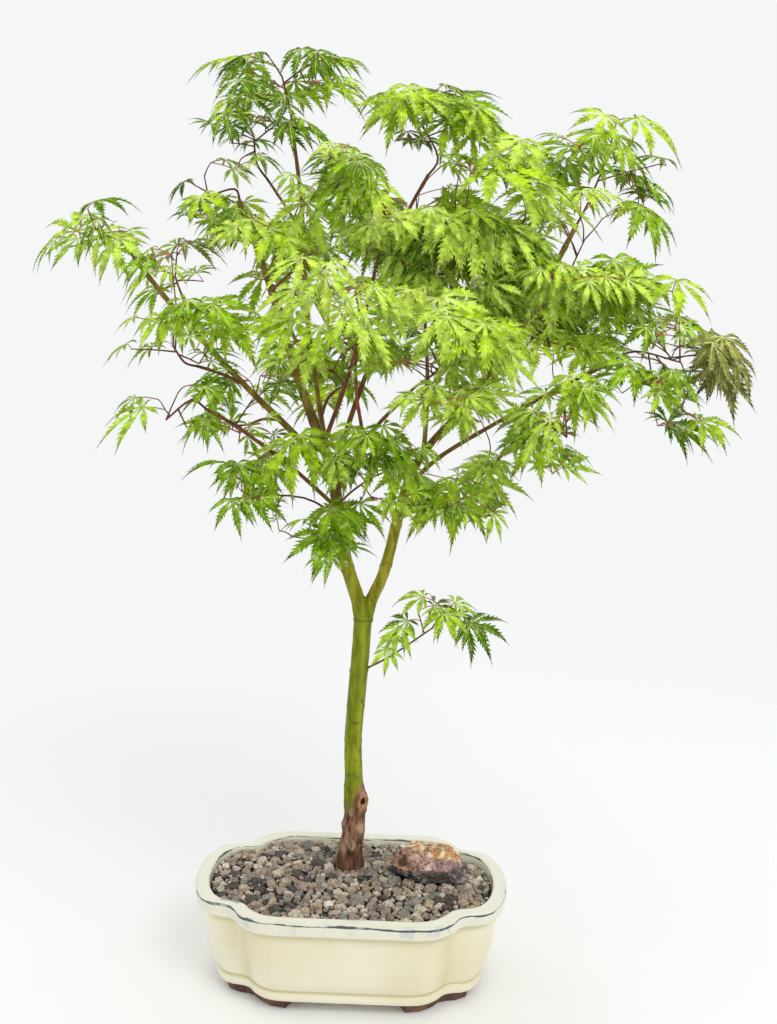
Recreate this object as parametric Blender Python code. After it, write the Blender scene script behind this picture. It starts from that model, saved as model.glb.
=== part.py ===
# Japanese maple grown as a bonsai: a forked trunk with open, layered boughs and palmate leaves,
# standing in a shallow lobed pot of glazed clay with gravel and one rough stone.
# Metres, +Z up, the pot's long front faces -Y.

import math
import random

import bmesh
import bpy
import numpy as np
from mathutils import Matrix, Vector

MM = 0.001
GAP = 0.3                      # clear distance between neighbouring solids, mm

# Pot, in mm. The plan is one quarter of the rim's outer edge, from the middle of the
# front to the middle of the end, with a shallow notch between the two panels.
RIM_HALF_LENGTH = 125.0
RIM_HALF_DEPTH = 82.0
BASE_HEIGHT = 3.0
FOOT_BOTTOM = -6.0
PLAN_QUARTER = (
    (0.0, 82.0), (57.0, 81.6), (71.0, 78.0), (81.0, 69.5), (88.0, 59.5), (95.0, 55.5),
    (105.0, 53.0), (114.0, 46.0), (121.0, 31.0), (125.0, 0.0),
)
# How far each level is drawn in from the rim's edge, and its height.
POT_OUTSIDE = (
    (17.6, 3.0), (16.0, 4.6), (16.0, 9.6), (17.6, 11.0), (15.2, 12.6), (10.4, 32.0),
    (6.4, 60.0), (7.4, 64.0), (0.6, 66.4), (0.0, 76.6), (0.9, 78.0),
)
POT_INSIDE = ((11.0, 78.0), (12.0, 70.0), (16.0, 40.0), (24.0, 16.0))
SOIL_SIDE = ((24.6, 16.5), (16.5, 40.0), (12.5, 72.4))
SOIL_RINGS = (0.95, 0.78, 0.56, 0.31)
SOIL_EDGE = 73.6
SOIL_MOUND = 2.6
SOIL_ROUGH = 1.1
FOOT_ARC = (1, 7)              # plan points that a foot stands under
FOOT_OUTER = 19.6
FOOT_INNER = 41.0

ROCK_CENTRE = (60.0, 13.5)
ROCK_HALF = (33.0, 24.0, 23.5)
ROCK_POINTS = 26
ROCK_SEED = 14

TRUNK_BASE = (-3.0, 23.0)

# The trunk's axis from the gravel to the fork, its radius at each point, its flare at the soil
# and the two short stubs of the fork, each with its route and its radius at either end.
TRUNK_ROUTE = (
    (-3.0, 23.0, 76.6), (-2.2, 23.0, 92.0), (0.2, 23.0, 116.0), (-0.8, 23.0, 150.0),
    (-2.0, 23.0, 185.0), (0.0, 23.0, 219.0), (2.2, 23.0, 252.0), (4.4, 23.0, 290.0),
)
TRUNK_RADII = (11.0, 9.6, 8.6, 7.5, 7.0, 7.2, 7.3, 7.2)
TRUNK_FLARE = 3.4
FORK_STUBS = (
    ((4.2, 23.0, 281.0), (1.6, 23.0, 294.0), (-0.7, 22.8, 304.0), 6.4, 5.5),
    ((4.8, 23.0, 281.0), (8.0, 23.2, 294.0), (11.0, 23.6, 304.0), 5.8, 4.6),
)
# Every limb above the fork: its route in mm, its radius at the start and the end, its sides.
# A limb comes after the one that it grows from.
LIMBS = {
    "leader_left": (((-0.7, 22.8, 304.0), (-10.4, 21.2, 335.0), (-15.0, 19.0, 367.0),
                     (-19.0, 17.0, 391.0), (-21.4, 15.0, 407.0)), 5.5, 4.4, 9),
    "leader_right": (((11.0, 23.6, 304.0), (20.5, 26.0, 327.0), (29.5, 28.0, 367.0),
                      (35.0, 31.0, 390.0), (40.0, 33.0, 406.0)), 4.6, 3.6, 9),
    "bough_crest": (((-21.4, 15.0, 407.0), (-43.0, 19.0, 461.0), (-56.0, 22.0, 498.0),
                     (-76.0, 27.0, 558.0), (-97.0, 37.0, 609.0)), 4.1, 2.1, 6),
    "bough_left": (((-19.8, 16.4, 396.0), (-46.0, 8.0, 431.0), (-91.0, -2.0, 477.0),
                    (-134.0, -11.0, 525.0), (-166.0, -20.0, 566.0)), 3.0, 1.7, 6),
    "bough_left_side": (((-122.0, -8.0, 511.0), (-131.0, 12.0, 524.0),
                         (-139.0, 24.0, 538.0)), 1.4, 1.1, 5),
    "bough_left_front": (((-88.0, -1.0, 474.0), (-104.0, -22.0, 484.0),
                          (-117.0, -38.0, 490.0)), 1.4, 1.1, 5),
    "bough_left_low": (((-16.6, 18.2, 376.0), (-41.0, -9.0, 405.0), (-59.0, -37.0, 426.0),
                        (-86.0, -50.0, 448.0), (-108.0, -58.0, 462.0)), 1.7, 1.1, 5),
    "bough_left_under": (((-62.0, 4.0, 447.0), (-74.0, 12.0, 446.0),
                          (-84.0, 18.0, 442.0)), 1.3, 1.0, 5),
    "bough_top": (((-24.5, 15.6, 415.0), (-36.0, 51.0, 458.0), (-50.0, 83.0, 534.0),
                   (-54.0, 88.0, 604.0), (-62.0, 94.0, 662.0)), 2.3, 1.4, 6),
    "bough_upper_left": (((-53.0, 87.0, 586.0), (-66.0, 76.0, 607.0),
                          (-80.0, 68.0, 628.0)), 1.3, 1.0, 5),
    "bough_inner_left": (((-71.0, 25.6, 543.0), (-60.0, 4.0, 551.0),
                          (-50.0, -14.0, 559.0)), 1.5, 1.1, 5),
    "bough_back_left": (((-39.0, 59.0, 476.0), (-60.0, 106.0, 500.0),
                         (-79.0, 146.0, 528.0)), 1.7, 1.2, 5),
    "bough_centre_back": (((-32.6, 41.0, 446.0), (-30.0, 66.0, 456.0),
                           (-24.0, 86.0, 462.0)), 1.5, 1.1, 5),
    "bough_middle": (((-20.6, 15.6, 402.0), (-9.0, 33.0, 446.0), (4.0, 50.0, 486.0),
                      (22.0, 68.0, 540.0), (28.0, 77.0, 596.0), (46.0, 82.0, 634.0)), 2.2, 1.3, 6),
    "bough_front": (((-29.0, 16.4, 426.0), (-10.0, 4.0, 480.0), (4.0, -17.0, 532.0),
                     (12.0, -40.0, 566.0)), 1.9, 1.2, 5),
    "bough_front_right": (((-18.6, 17.2, 388.0), (-4.0, -19.0, 419.0), (14.0, -50.0, 450.0),
                           (34.0, -74.0, 474.0)), 1.8, 1.2, 5),
    "bough_front_low": (((6.0, -37.5, 436.0), (2.0, -74.0, 472.0),
                         (2.0, -106.0, 500.0)), 1.4, 1.1, 5),
    "bough_right": (((40.0, 33.0, 406.0), (53.0, 41.0, 425.0), (82.0, 49.0, 459.0),
                     (121.0, 53.0, 516.0), (149.0, 53.0, 572.0), (161.0, 53.0, 597.0)), 3.4, 1.9, 6),
    "bough_right_inner": (((114.0, 52.4, 506.0), (124.0, 26.0, 524.0),
                           (134.0, 10.0, 536.0)), 1.5, 1.1, 5),
    "bough_far_right": (((35.6, 31.2, 392.0), (61.0, 20.0, 419.0), (103.0, 3.0, 449.0),
                         (152.0, -10.0, 480.0), (184.0, -17.0, 498.0)), 2.0, 1.2, 5),
    "bough_right_low": (((116.0, -0.6, 457.0), (127.0, -16.0, 457.0),
                         (136.0, -28.0, 455.0)), 1.2, 1.0, 5),
    "bough_centre_right": (((71.0, 46.6, 446.0), (72.0, 18.0, 490.0),
                            (68.0, -6.0, 528.0)), 1.8, 1.2, 5),
    "bough_back": (((48.6, 38.6, 418.0), (50.0, 84.0, 462.0), (47.0, 122.0, 508.0),
                    (42.0, 150.0, 546.0)), 2.0, 1.2, 5),
    "bough_back_right": (((62.0, 43.6, 435.0), (92.0, 92.0, 462.0),
                          (122.0, 134.0, 488.0)), 1.7, 1.2, 5),
}

# Every mass of foliage: the limb that carries it, its middle and reach in mm, the number of
# twigs and leaves, the length of the leaves' middle lobe, the seed of its branching.
MASSES = {
    "foliage_left_tip": ("bough_left", (-192.0, -28.0, 586.0), (52.0, 52.0, 56.0), 4, 8, 44.0, 3),
    "foliage_left_upper": ("bough_left_side", (-146.0, 34.0, 552.0), (50.0, 54.0, 48.0), 4, 8, 44.0, 8),
    "foliage_left_front": ("bough_left_front", (-130.0, -60.0, 506.0), (52.0, 52.0, 50.0), 4, 8, 44.0, 5),
    "foliage_left_low": ("bough_left_low", (-134.0, -68.0, 454.0), (62.0, 50.0, 46.0), 4, 8, 46.0, 6),
    "foliage_left_under": ("bough_left_under", (-97.0, 16.0, 440.0), (54.0, 52.0, 50.0), 4, 8, 46.0, 7),
    "foliage_crest": ("bough_crest", (-122.0, 42.0, 612.0), (50.0, 52.0, 54.0), 4, 8, 44.0, 2),
    "foliage_top_left": ("bough_top", (-72.0, 98.0, 708.0), (66.0, 60.0, 46.0), 4, 11, 44.0, 9),
    "foliage_upper_left": ("bough_upper_left", (-88.0, 52.0, 658.0), (52.0, 50.0, 44.0), 4, 7, 44.0, 10),
    "foliage_inner_left": ("bough_inner_left", (-52.0, -42.0, 584.0), (66.0, 56.0, 52.0), 4, 10, 48.0, 31),
    "foliage_back_left": ("bough_back_left", (-92.0, 176.0, 552.0), (70.0, 66.0, 62.0), 4, 8, 51.5, 12),
    "foliage_centre_back": ("bough_centre_back", (-30.0, 120.0, 474.0), (66.0, 54.0, 56.0), 4, 8, 52.0, 13),
    "foliage_top": ("bough_middle", (40.0, 84.0, 672.0), (84.0, 62.0, 54.0), 5, 12, 48.0, 14),
    "foliage_front": ("bough_front", (18.0, -66.0, 606.0), (66.0, 56.0, 54.0), 4, 11, 50.0, 15),
    "foliage_front_right": ("bough_front_right", (60.0, -100.0, 498.0), (60.0, 54.0, 54.0), 4, 10, 50.0, 16),
    "foliage_front_low": ("bough_front_low", (-12.0, -138.0, 522.0), (60.0, 54.0, 54.0), 4, 8, 48.0, 47),
    "foliage_top_right": ("bough_right", (182.0, 53.0, 648.0), (72.0, 64.0, 60.0), 5, 12, 48.0, 18),
    "foliage_right": ("bough_right_inner", (150.0, -16.0, 560.0), (68.0, 56.0, 54.0), 4, 11, 48.0, 19),
    "foliage_far_right": ("bough_far_right", (234.0, -22.0, 500.0), (66.0, 58.0, 60.0), 5, 11, 48.0, 20),
    "foliage_right_low": ("bough_right_low", (152.0, -44.0, 446.0), (58.0, 54.0, 50.0), 4, 8, 50.0, 21),
    "foliage_centre_right": ("bough_centre_right", (74.0, -26.0, 566.0), (66.0, 54.0, 56.0),
                             4, 12, 50.0, 42),
    "foliage_back": ("bough_back", (36.0, 186.0, 584.0), (70.0, 66.0, 64.0), 4, 9, 52.0, 23),
    "foliage_back_right": ("bough_back_right", (150.0, 166.0, 512.0), (70.0, 66.0, 62.0), 4, 9, 52.0, 24),
    "foliage_low_left": ("leader_left", (-84.0, -28.0, 394.0), (58.0, 48.0, 44.0), 4, 7, 44.0, 25),
    "foliage_low": ("leader_left", (-34.0, -26.0, 358.0), (48.0, 42.0, 52.0), 4, 7, 44.0, 26),
    "foliage_low_centre": ("leader_left", (14.0, -40.0, 414.0), (48.0, 46.0, 48.0), 4, 7, 45.5, 29),
    "foliage_low_right": ("leader_right", (80.0, 2.0, 390.0), (54.0, 48.0, 50.0), 4, 8, 46.0, 37),
    "foliage_low_branch": ("trunk", (60.0, -6.0, 290.0), (48.0, 46.0, 40.0), 4, 7, 36.0, 38),
}
# Where a stem grows straight from the trunk or a leader: its root and its first turn, in mm.
STEM_ROOTS = {
    "foliage_low_left": ((-15.4, 18.8, 369.0), (-46.0, -8.0, 392.0)),
    "foliage_low": ((-12.6, 20.2, 350.0), (-22.0, -4.0, 362.0)),
    "foliage_low_centre": ((-17.0, 18.0, 379.0), (-4.0, -6.0, 396.0)),
    "foliage_low_right": ((33.4, 30.2, 384.0), (54.0, 14.0, 396.0)),
    "foliage_low_branch": ((1.6, 23.0, 243.0), (30.0, 11.0, 262.0)),
}
STEM_RADIUS = 1.4
TWIG_RADIUS = 1.2
TWIG_TIP = 1.05
PETIOLE_RADIUS = 0.5
PETIOLE = (7.0, 15.0)          # shortest and longest leaf stalk, mm
LOBES = (                      # the angle of each lobe from the middle one, and its share of the length
    (-80.0, 0.64), (-39.0, 0.90), (0.0, 1.0), (39.0, 0.90), (80.0, 0.64),
)
NOTCH = 0.36                   # where two lobes part, as a share of the length
BLADE_HALF = 0.55              # half the blade's thickness at its middle, mm
SITE_SHARES = (0.97, 0.55, 0.86, 0.40, 0.74, 0.66, 0.48, 0.92)
LEAF_TRIES = 26
CELL_MARGIN = 0.8
LIMB_MARGIN = 1.3
LEAF_OVERLAP = -1.8            # lobes of one mass may come this much nearer than a limb may

GLAZE = (0.86, 0.83, 0.68)
FOOT_CLAY = (0.16, 0.10, 0.07)
GRAVEL = (0.24, 0.21, 0.19)
STONE = (0.45, 0.27, 0.20)
BARK_BROWN = (0.22, 0.12, 0.07)
BARK_GREEN = (0.32, 0.33, 0.08)
BARK_RED = (0.24, 0.11, 0.06)
LEAF_GREEN = (0.26, 0.50, 0.06)


def clear_scene():
    for obj in list(bpy.data.objects):
        bpy.data.objects.remove(obj, do_unlink=True)


def new_collection(name):
    collection = bpy.data.collections.new(name)
    bpy.context.scene.collection.children.link(collection)
    return collection


def principled(name, colour, roughness):
    material = bpy.data.materials.new(name)
    material.use_nodes = True
    shader = material.node_tree.nodes["Principled BSDF"]
    shader.inputs["Base Color"].default_value = (*colour, 1.0)
    shader.inputs["Roughness"].default_value = roughness
    material.diffuse_color = (*colour, 1.0)
    return material


def outward(mesh):
    work = bmesh.new()
    work.from_mesh(mesh)
    bmesh.ops.remove_doubles(work, verts=work.verts, dist=1e-7)
    bmesh.ops.recalc_face_normals(work, faces=work.faces)
    if work.calc_volume(signed=True) < 0.0:
        bmesh.ops.reverse_faces(work, faces=work.faces)
    work.to_mesh(mesh)
    work.free()


def add_object(name, points, faces, collection):
    mesh = bpy.data.meshes.new(name)
    mesh.from_pydata([Vector(p) * MM for p in points], [], faces)
    outward(mesh)
    obj = bpy.data.objects.new(name, mesh)
    collection.objects.link(obj)
    return obj


def finish(obj, material, smooth_angle):
    obj.data.materials.clear()
    obj.data.materials.append(material)
    for face in obj.data.polygons:
        face.use_smooth = smooth_angle > 0.0
    if smooth_angle > 0.0:
        obj.data.set_sharp_from_angle(angle=math.radians(smooth_angle))


def smooth_route(points, steps):
    """A Catmull-Rom run through the points, with the same number of steps in every span."""
    known = [Vector(p) for p in points]
    padded = [known[0] * 2 - known[1]] + known + [known[-1] * 2 - known[-2]]
    route = []
    for i in range(1, len(padded) - 2):
        a, b, c, d = padded[i - 1:i + 3]
        for k in range(steps):
            t = k / steps
            route.append(0.5 * (2 * b + (c - a) * t + (2 * a - 5 * b + 4 * c - d) * t * t
                                + (3 * b - a - 3 * c + d) * t ** 3))
    route.append(known[-1])
    return route


def tapered(count, start, end):
    return [start + (end - start) * (i / (count - 1)) ** 0.85 for i in range(count)]


def profile(sides):
    """A round or three-sided section, used as a curve's bevel."""
    data = bpy.data.curves.new("section", "CURVE")
    data.dimensions = "2D"
    spline = data.splines.new("POLY")
    spline.points.add(sides - 1)
    for i in range(sides):
        turn = 2 * math.pi * i / sides
        spline.points[i].co = (math.cos(turn) * MM, math.sin(turn) * MM, 0.0, 1.0)
    spline.use_cyclic_u = True
    return bpy.data.objects.new("section", data)


def limb_mesh(name, route, radii, section, collection):
    """A limb swept along its route, closed at both ends."""
    data = bpy.data.curves.new(name, "CURVE")
    data.dimensions = "3D"
    data.bevel_mode = "OBJECT"
    data.bevel_object = section
    data.use_fill_caps = True
    data.twist_mode = "MINIMUM"
    spline = data.splines.new("POLY")
    spline.points.add(len(route) - 1)
    for point, place, radius in zip(spline.points, route, radii):
        point.co = (*(place * MM), 1.0)
        point.radius = radius
    curve = bpy.data.objects.new(name, data)
    collection.objects.link(curve)
    bpy.context.view_layer.update()
    graph = bpy.context.evaluated_depsgraph_get()
    mesh = bpy.data.meshes.new_from_object(curve.evaluated_get(graph))
    bpy.data.objects.remove(curve, do_unlink=True)
    outward(mesh)
    obj = bpy.data.objects.new(name, mesh)
    collection.objects.link(obj)
    return obj


def largest_body(obj):
    """Keeps the outer surface of the largest body, so a sealed hollow is filled and a scrap goes."""
    work = bmesh.new()
    work.from_mesh(obj.data)
    bmesh.ops.triangulate(work, faces=work.faces)
    unseen = set(work.faces)
    bodies = []
    while unseen:
        first = unseen.pop()
        body = [first]
        for face in body:
            for edge in face.edges:
                for other in edge.link_faces:
                    if other in unseen:
                        unseen.remove(other)
                        body.append(other)
        bodies.append(body)
    volumes = []
    for body in bodies:
        total = 0.0
        for face in body:
            a, b, c = (v.co for v in face.verts)
            total += a.dot(b.cross(c))
        volumes.append(total)
    keep = max(range(len(bodies)), key=lambda i: volumes[i])
    loose = [face for i, body in enumerate(bodies) if i != keep for face in body]
    bmesh.ops.delete(work, geom=loose, context="FACES")
    work.to_mesh(obj.data)
    work.free()


def combine(obj, others, operation):
    """One Boolean with a collection of helpers, applied; the helpers are removed afterwards."""
    helpers = bpy.data.collections.new("helpers")
    bpy.context.scene.collection.children.link(helpers)
    for other in others:
        for owner in list(other.users_collection):
            owner.objects.unlink(other)
        helpers.objects.link(other)
    boolean = obj.modifiers.new("join", "BOOLEAN")
    boolean.operation = operation
    boolean.operand_type = "COLLECTION"
    boolean.collection = helpers
    boolean.solver = "MANIFOLD"
    bpy.context.view_layer.update()
    graph = bpy.context.evaluated_depsgraph_get()
    mesh = bpy.data.meshes.new_from_object(obj.evaluated_get(graph))
    obj.modifiers.clear()
    obj.data = mesh
    for other in others:
        bpy.data.objects.remove(other, do_unlink=True)
    bpy.data.collections.remove(helpers)
    largest_body(obj)


def plan_ring(inset, height):
    """The pot's plan drawn in by an inset, as one closed ring."""
    sx = (RIM_HALF_LENGTH - inset) / RIM_HALF_LENGTH
    sy = (RIM_HALF_DEPTH - inset) / RIM_HALF_DEPTH
    quarter = [(x * sx, y * sy) for x, y in PLAN_QUARTER]
    ring = [(x, -y) for x, y in quarter[:-1]]
    ring += [(x, y) for x, y in reversed(quarter[1:])]
    ring += [(-x, y) for x, y in quarter[:-1]]
    ring += [(-x, -y) for x, y in reversed(quarter[1:])]
    return [(x, y, height) for x, y in ring]


def loft(rings):
    """Points and faces of a stack of equal rings, closed with a flat face at either end."""
    count = len(rings[0])
    points = [p for ring in rings for p in ring]
    faces = [tuple(range(count))]
    for level in range(len(rings) - 1):
        low = level * count
        for i in range(count):
            j = (i + 1) % count
            faces.append((low + i, low + j, low + count + j, low + count + i))
    faces.append(tuple(range(len(points) - count, len(points))))
    return points, faces


def make_pot(collection):
    rings = [plan_ring(inset, height) for inset, height in POT_OUTSIDE + POT_INSIDE]
    pot = add_object("pot", *loft(rings), collection)
    finish(pot, principled("pot_glaze", GLAZE, 0.25), 38.0)


def make_foot(name, mirror_x, mirror_y, material, collection):
    first, last = FOOT_ARC
    top = BASE_HEIGHT - GAP
    rings = []
    for height, draw in ((FOOT_BOTTOM, 3.2), (FOOT_BOTTOM + 1.6, 1.8), (top, 0.0)):
        outer = [(x, y, height) for x, y, _ in plan_quarter_points(FOOT_OUTER + draw, first, last)]
        inner = [(x, y, height) for x, y, _ in plan_quarter_points(FOOT_INNER - draw, first, last)]
        ring = outer + inner[::-1]
        rings.append([(x * mirror_x, y * mirror_y, z) for x, y, z in ring])
    foot = add_object(name, *loft(rings), collection)
    finish(foot, material, 0.0)


def plan_quarter_points(inset, first, last):
    sx = (RIM_HALF_LENGTH - inset) / RIM_HALF_LENGTH
    sy = (RIM_HALF_DEPTH - inset) / RIM_HALF_DEPTH
    return [(x * sx, y * sy, 0.0) for x, y in PLAN_QUARTER[first:last + 1]]


def soil_height(x, y, share, rng):
    """Gravel height: a low mound, rough, but level under the rock and round the trunk."""
    height = SOIL_EDGE + SOIL_MOUND * (1.0 - share * share)
    to_rock = max(abs(x - ROCK_CENTRE[0]) / ROCK_HALF[0], abs(y - ROCK_CENTRE[1]) / ROCK_HALF[1])
    to_trunk = math.hypot(x - TRUNK_BASE[0], y - TRUNK_BASE[1])
    rough = rng.uniform(-SOIL_ROUGH, SOIL_ROUGH)
    if to_rock < 1.35 or to_trunk < 36.0:
        return TRUNK_ROUTE[0][2] - GAP - 0.1
    return height + rough


def make_soil(collection):
    rng = random.Random(31)
    rings = [plan_ring(inset, height) for inset, height in SOIL_SIDE]
    edge = plan_ring(SOIL_SIDE[-1][0], SOIL_EDGE)
    for share in SOIL_RINGS:
        ring = []
        for x, y, _ in edge:
            px = x * share + TRUNK_BASE[0] * (1.0 - share)
            py = y * share + TRUNK_BASE[1] * (1.0 - share)
            ring.append((px, py, soil_height(px, py, share, rng)))
        rings.append(ring)
    points, faces = loft(rings)
    last = len(points) - len(edge)
    faces.pop()
    points.append((TRUNK_BASE[0], TRUNK_BASE[1], TRUNK_ROUTE[0][2] - GAP - 0.1))
    for i in range(len(edge)):
        faces.append((last + i, last + (i + 1) % len(edge), len(points) - 1))
    soil = add_object("gravel", points, faces, collection)
    finish(soil, principled("gravel", GRAVEL, 0.95), 0.0)


def make_rock(collection):
    """A rough angular stone: the hull of points thrown on a flattened ball, cut level below."""
    rng = random.Random(ROCK_SEED)
    floor = TRUNK_ROUTE[0][2]
    work = bmesh.new()
    for i in range(ROCK_POINTS):
        turn = i * 2.399963
        lift = 1.0 - 2.0 * (i + 0.5) / ROCK_POINTS
        flat = math.sqrt(1.0 - lift * lift)
        push = rng.uniform(0.84, 1.05)
        x = ROCK_CENTRE[0] + math.cos(turn) * flat * ROCK_HALF[0] * push
        y = ROCK_CENTRE[1] + math.sin(turn) * flat * ROCK_HALF[1] * push
        z = floor + max(0.0, (lift + 0.35) * ROCK_HALF[2] * 0.74 * push)
        work.verts.new(Vector((x, y, z)) * MM)
    hull = bmesh.ops.convex_hull(work, input=work.verts)
    spare = [v for v in hull["geom_interior"] if isinstance(v, bmesh.types.BMVert)]
    bmesh.ops.delete(work, geom=spare, context="VERTS")
    bmesh.ops.dissolve_limit(work, angle_limit=math.radians(2.0), verts=work.verts, edges=work.edges)
    mesh = bpy.data.meshes.new("rock")
    work.to_mesh(mesh)
    work.free()
    outward(mesh)
    rock = bpy.data.objects.new("rock", mesh)
    collection.objects.link(rock)
    finish(rock, principled("stone", STONE, 0.8), 0.0)


def shape_trunk(obj):
    """Root flare in soft ridges at the soil, a swollen knot low on the right, rings at old nodes."""
    base = TRUNK_ROUTE[0][2]
    for vertex in obj.data.vertices:
        x, y, z = vertex.co / MM
        if z < base + 2.5:
            vertex.co.z = base * MM
            z = base
        if z > 270.0:
            continue
        share = (z - base) / (TRUNK_ROUTE[-1][2] - base)
        axis_x = TRUNK_BASE[0] + 4.0 * share
        out = Vector((x - axis_x, y - TRUNK_BASE[1], 0.0))
        reach = out.length
        if reach < 0.5:
            continue
        out.normalize()
        turn = math.atan2(out.y, out.x)
        near_soil = max(0.0, 1.0 - (z - base) / 26.0)
        push = TRUNK_FLARE * near_soil ** 2 * (0.55 + 0.45 * math.cos(5.0 * turn + 0.8))
        knot = math.exp(-((z - 133.0) / 8.0) ** 2) * max(0.0, math.cos(turn + 0.75)) ** 2
        push += 3.0 * knot
        bump = math.exp(-((z - 112.0) / 6.0) ** 2) * max(0.0, math.cos(turn - 2.8)) ** 2
        push += 1.6 * bump
        vertex.co += out * push * MM


def limb_route(name):
    points, start, end, _ = LIMBS[name]
    route = smooth_route(points, 2 if len(points) > 3 else 3)
    return route, tapered(len(route), start, end)


def longer(route, extra):
    """The route run on by a little at both ends."""
    first = route[0] + (route[0] - route[1]).normalized() * extra
    last = route[-1] + (route[-1] - route[-2]).normalized() * extra
    return [first] + list(route[1:-1]) + [last]


def boxes_meet(a, b, margin):
    for axis in range(3):
        if min(p[axis] for p in a) - margin > max(p[axis] for p in b):
            return False
        if min(p[axis] for p in b) - margin > max(p[axis] for p in a):
            return False
    return True


def make_limbs(collection):
    """Trunk, leaders and boughs. Each limb is cut back to a thin clear gap from those before it."""
    sections = {sides: profile(sides) for sides in (5, 6, 9, 10)}
    route = smooth_route(TRUNK_ROUTE, 2)
    shares = np.linspace(0.0, 1.0, len(route))
    radii = list(np.interp(shares, np.linspace(0.0, 1.0, len(TRUNK_RADII)), TRUNK_RADII))
    trunk = limb_mesh("trunk", route, radii, sections[10], collection)
    stubs = []
    for a, b, c, start, end in FORK_STUBS:
        stub_route = smooth_route((a, b, c), 2)
        stub_radii = tapered(len(stub_route), start, end)
        stubs.append(limb_mesh("stub", stub_route, stub_radii, sections[9], collection))
    shape_trunk(trunk)
    combine(trunk, stubs, "UNION")
    finish(trunk, principled("bark_brown", BARK_BROWN, 0.85), 50.0)
    green = principled("bark_green", BARK_GREEN, 0.7)
    red = principled("bark_red", BARK_RED, 0.7)
    made = [(route, radii)]
    for a, b, c, start, end in FORK_STUBS:
        made.append(([Vector(a), Vector(b), Vector(c)], [start, 0.5 * (start + end), end]))
    for name, (_, _, _, sides) in LIMBS.items():
        route, radii = limb_route(name)
        limb = limb_mesh(name, route, radii, sections[sides], collection)
        cutters = []
        for other_route, other_radii in made:
            if boxes_meet(route, other_route, 12.0):
                wider = [r + GAP for r in other_radii]
                run = longer(other_route, GAP)
                cutters.append(limb_mesh("cutter", run, wider, sections[10], collection))
        combine(limb, cutters, "DIFFERENCE")
        finish(limb, green if sides == 9 else red, 50.0)
        made.append((route, radii))
    for section in sections.values():
        bpy.data.objects.remove(section, do_unlink=True)
    return made


def segments_of(route, radii):
    return [(route[i], route[i + 1], max(radii[i], radii[i + 1])) for i in range(len(route) - 1)]


def segment_gap(p1, q1, starts, ends):
    """The distance from one segment to each of many, all as arrays in mm."""
    d1 = q1 - p1
    d2 = ends - starts
    r = p1 - starts
    a = max(float(d1 @ d1), 1e-9)
    e = np.maximum((d2 * d2).sum(1), 1e-9)
    f = (d2 * r).sum(1)
    c = r @ d1
    b = d2 @ d1
    denom = a * e - b * b
    s = np.where(denom > 1e-9, np.clip((b * f - c * e) / np.maximum(denom, 1e-9), 0.0, 1.0), 0.0)
    t = (b * s + f) / e
    s = np.where(t < 0.0, np.clip(-c / a, 0.0, 1.0), np.where(t > 1.0, np.clip((b - c) / a, 0.0, 1.0), s))
    t = np.clip(t, 0.0, 1.0)
    near = (p1 + d1 * s[:, None]) - (starts + d2 * t[:, None])
    return np.sqrt((near * near).sum(1))


class Obstacles:
    """Every limb and stem that a leaf or a twig keeps clear of."""

    def __init__(self):
        self.starts = []
        self.ends = []
        self.radii = []
        self.owners = []

    def add(self, owner, segments):
        for start, end, radius in segments:
            self.starts.append(tuple(start))
            self.ends.append(tuple(end))
            self.radii.append(radius)
            self.owners.append(owner)

    def clear(self, pieces, margin, spare=()):
        keep = [i for i, owner in enumerate(self.owners) if owner not in spare]
        starts = np.array([self.starts[i] for i in keep])
        ends = np.array([self.ends[i] for i in keep])
        radii = np.array([self.radii[i] for i in keep])
        for start, end, width in pieces:
            gaps = segment_gap(np.array(start), np.array(end), starts, ends)
            if (gaps - radii - width).min() < margin:
                return False
        return True


def in_cell(point, name, margin):
    """Each mass keeps to the side of the plane half way to every other, weighted by its reach."""
    _, centre, reach, _, _, _, _ = MASSES[name]
    own = Vector(centre)
    own_power = (point - own).length_squared - (sum(reach) / 3.0) ** 2
    for other, (_, middle, extent, _, _, _, _) in MASSES.items():
        if other == name:
            continue
        away = Vector(middle)
        power = (point - away).length_squared - (sum(extent) / 3.0) ** 2
        if (power - own_power) / (2.0 * (away - own).length) < margin:
            return False
    return True


def in_reach(point, name, share):
    _, centre, reach, _, _, _, _ = MASSES[name]
    return sum(((point[i] - centre[i]) / (reach[i] * share)) ** 2 for i in range(3)) <= 1.0


def stem_of(name, limb_ends):
    """The stem's route, from a thin gap past its bough's tip to the middle of its mass."""
    bough, centre, _, _, _, _, _ = MASSES[name]
    middle = Vector(centre)
    if name in STEM_ROOTS:
        start, first = (Vector(p) for p in STEM_ROOTS[name])
    else:
        tip, heading = limb_ends[bough]
        start = tip + heading * GAP
        first = start + heading * (middle - start).length * 0.45
    return [start, first.lerp(start, 0.15), middle]


def leaf_frame(axis, roll):
    """The blade's own axes: along the middle lobe, across, and up through the face."""
    along = axis.normalized()
    across = Vector((0.0, 0.0, 1.0)).cross(along)
    if across.length < 0.05:
        across = Vector((1.0, 0.0, 0.0))
    across.normalize()
    turn = Matrix.Rotation(roll, 3, along)
    across = turn @ across
    up = along.cross(across)
    return along, across, up


def leaf_tips(leaf):
    along, across, up = leaf_frame(leaf["axis"], leaf["roll"])
    tips = []
    for angle, share in LOBES:
        turn = math.radians(angle)
        reach = leaf["length"] * share
        tips.append(leaf["centre"] + along * math.cos(turn) * reach + across * math.sin(turn) * reach
                    - up * leaf["droop"] * reach)
    return tips


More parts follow.
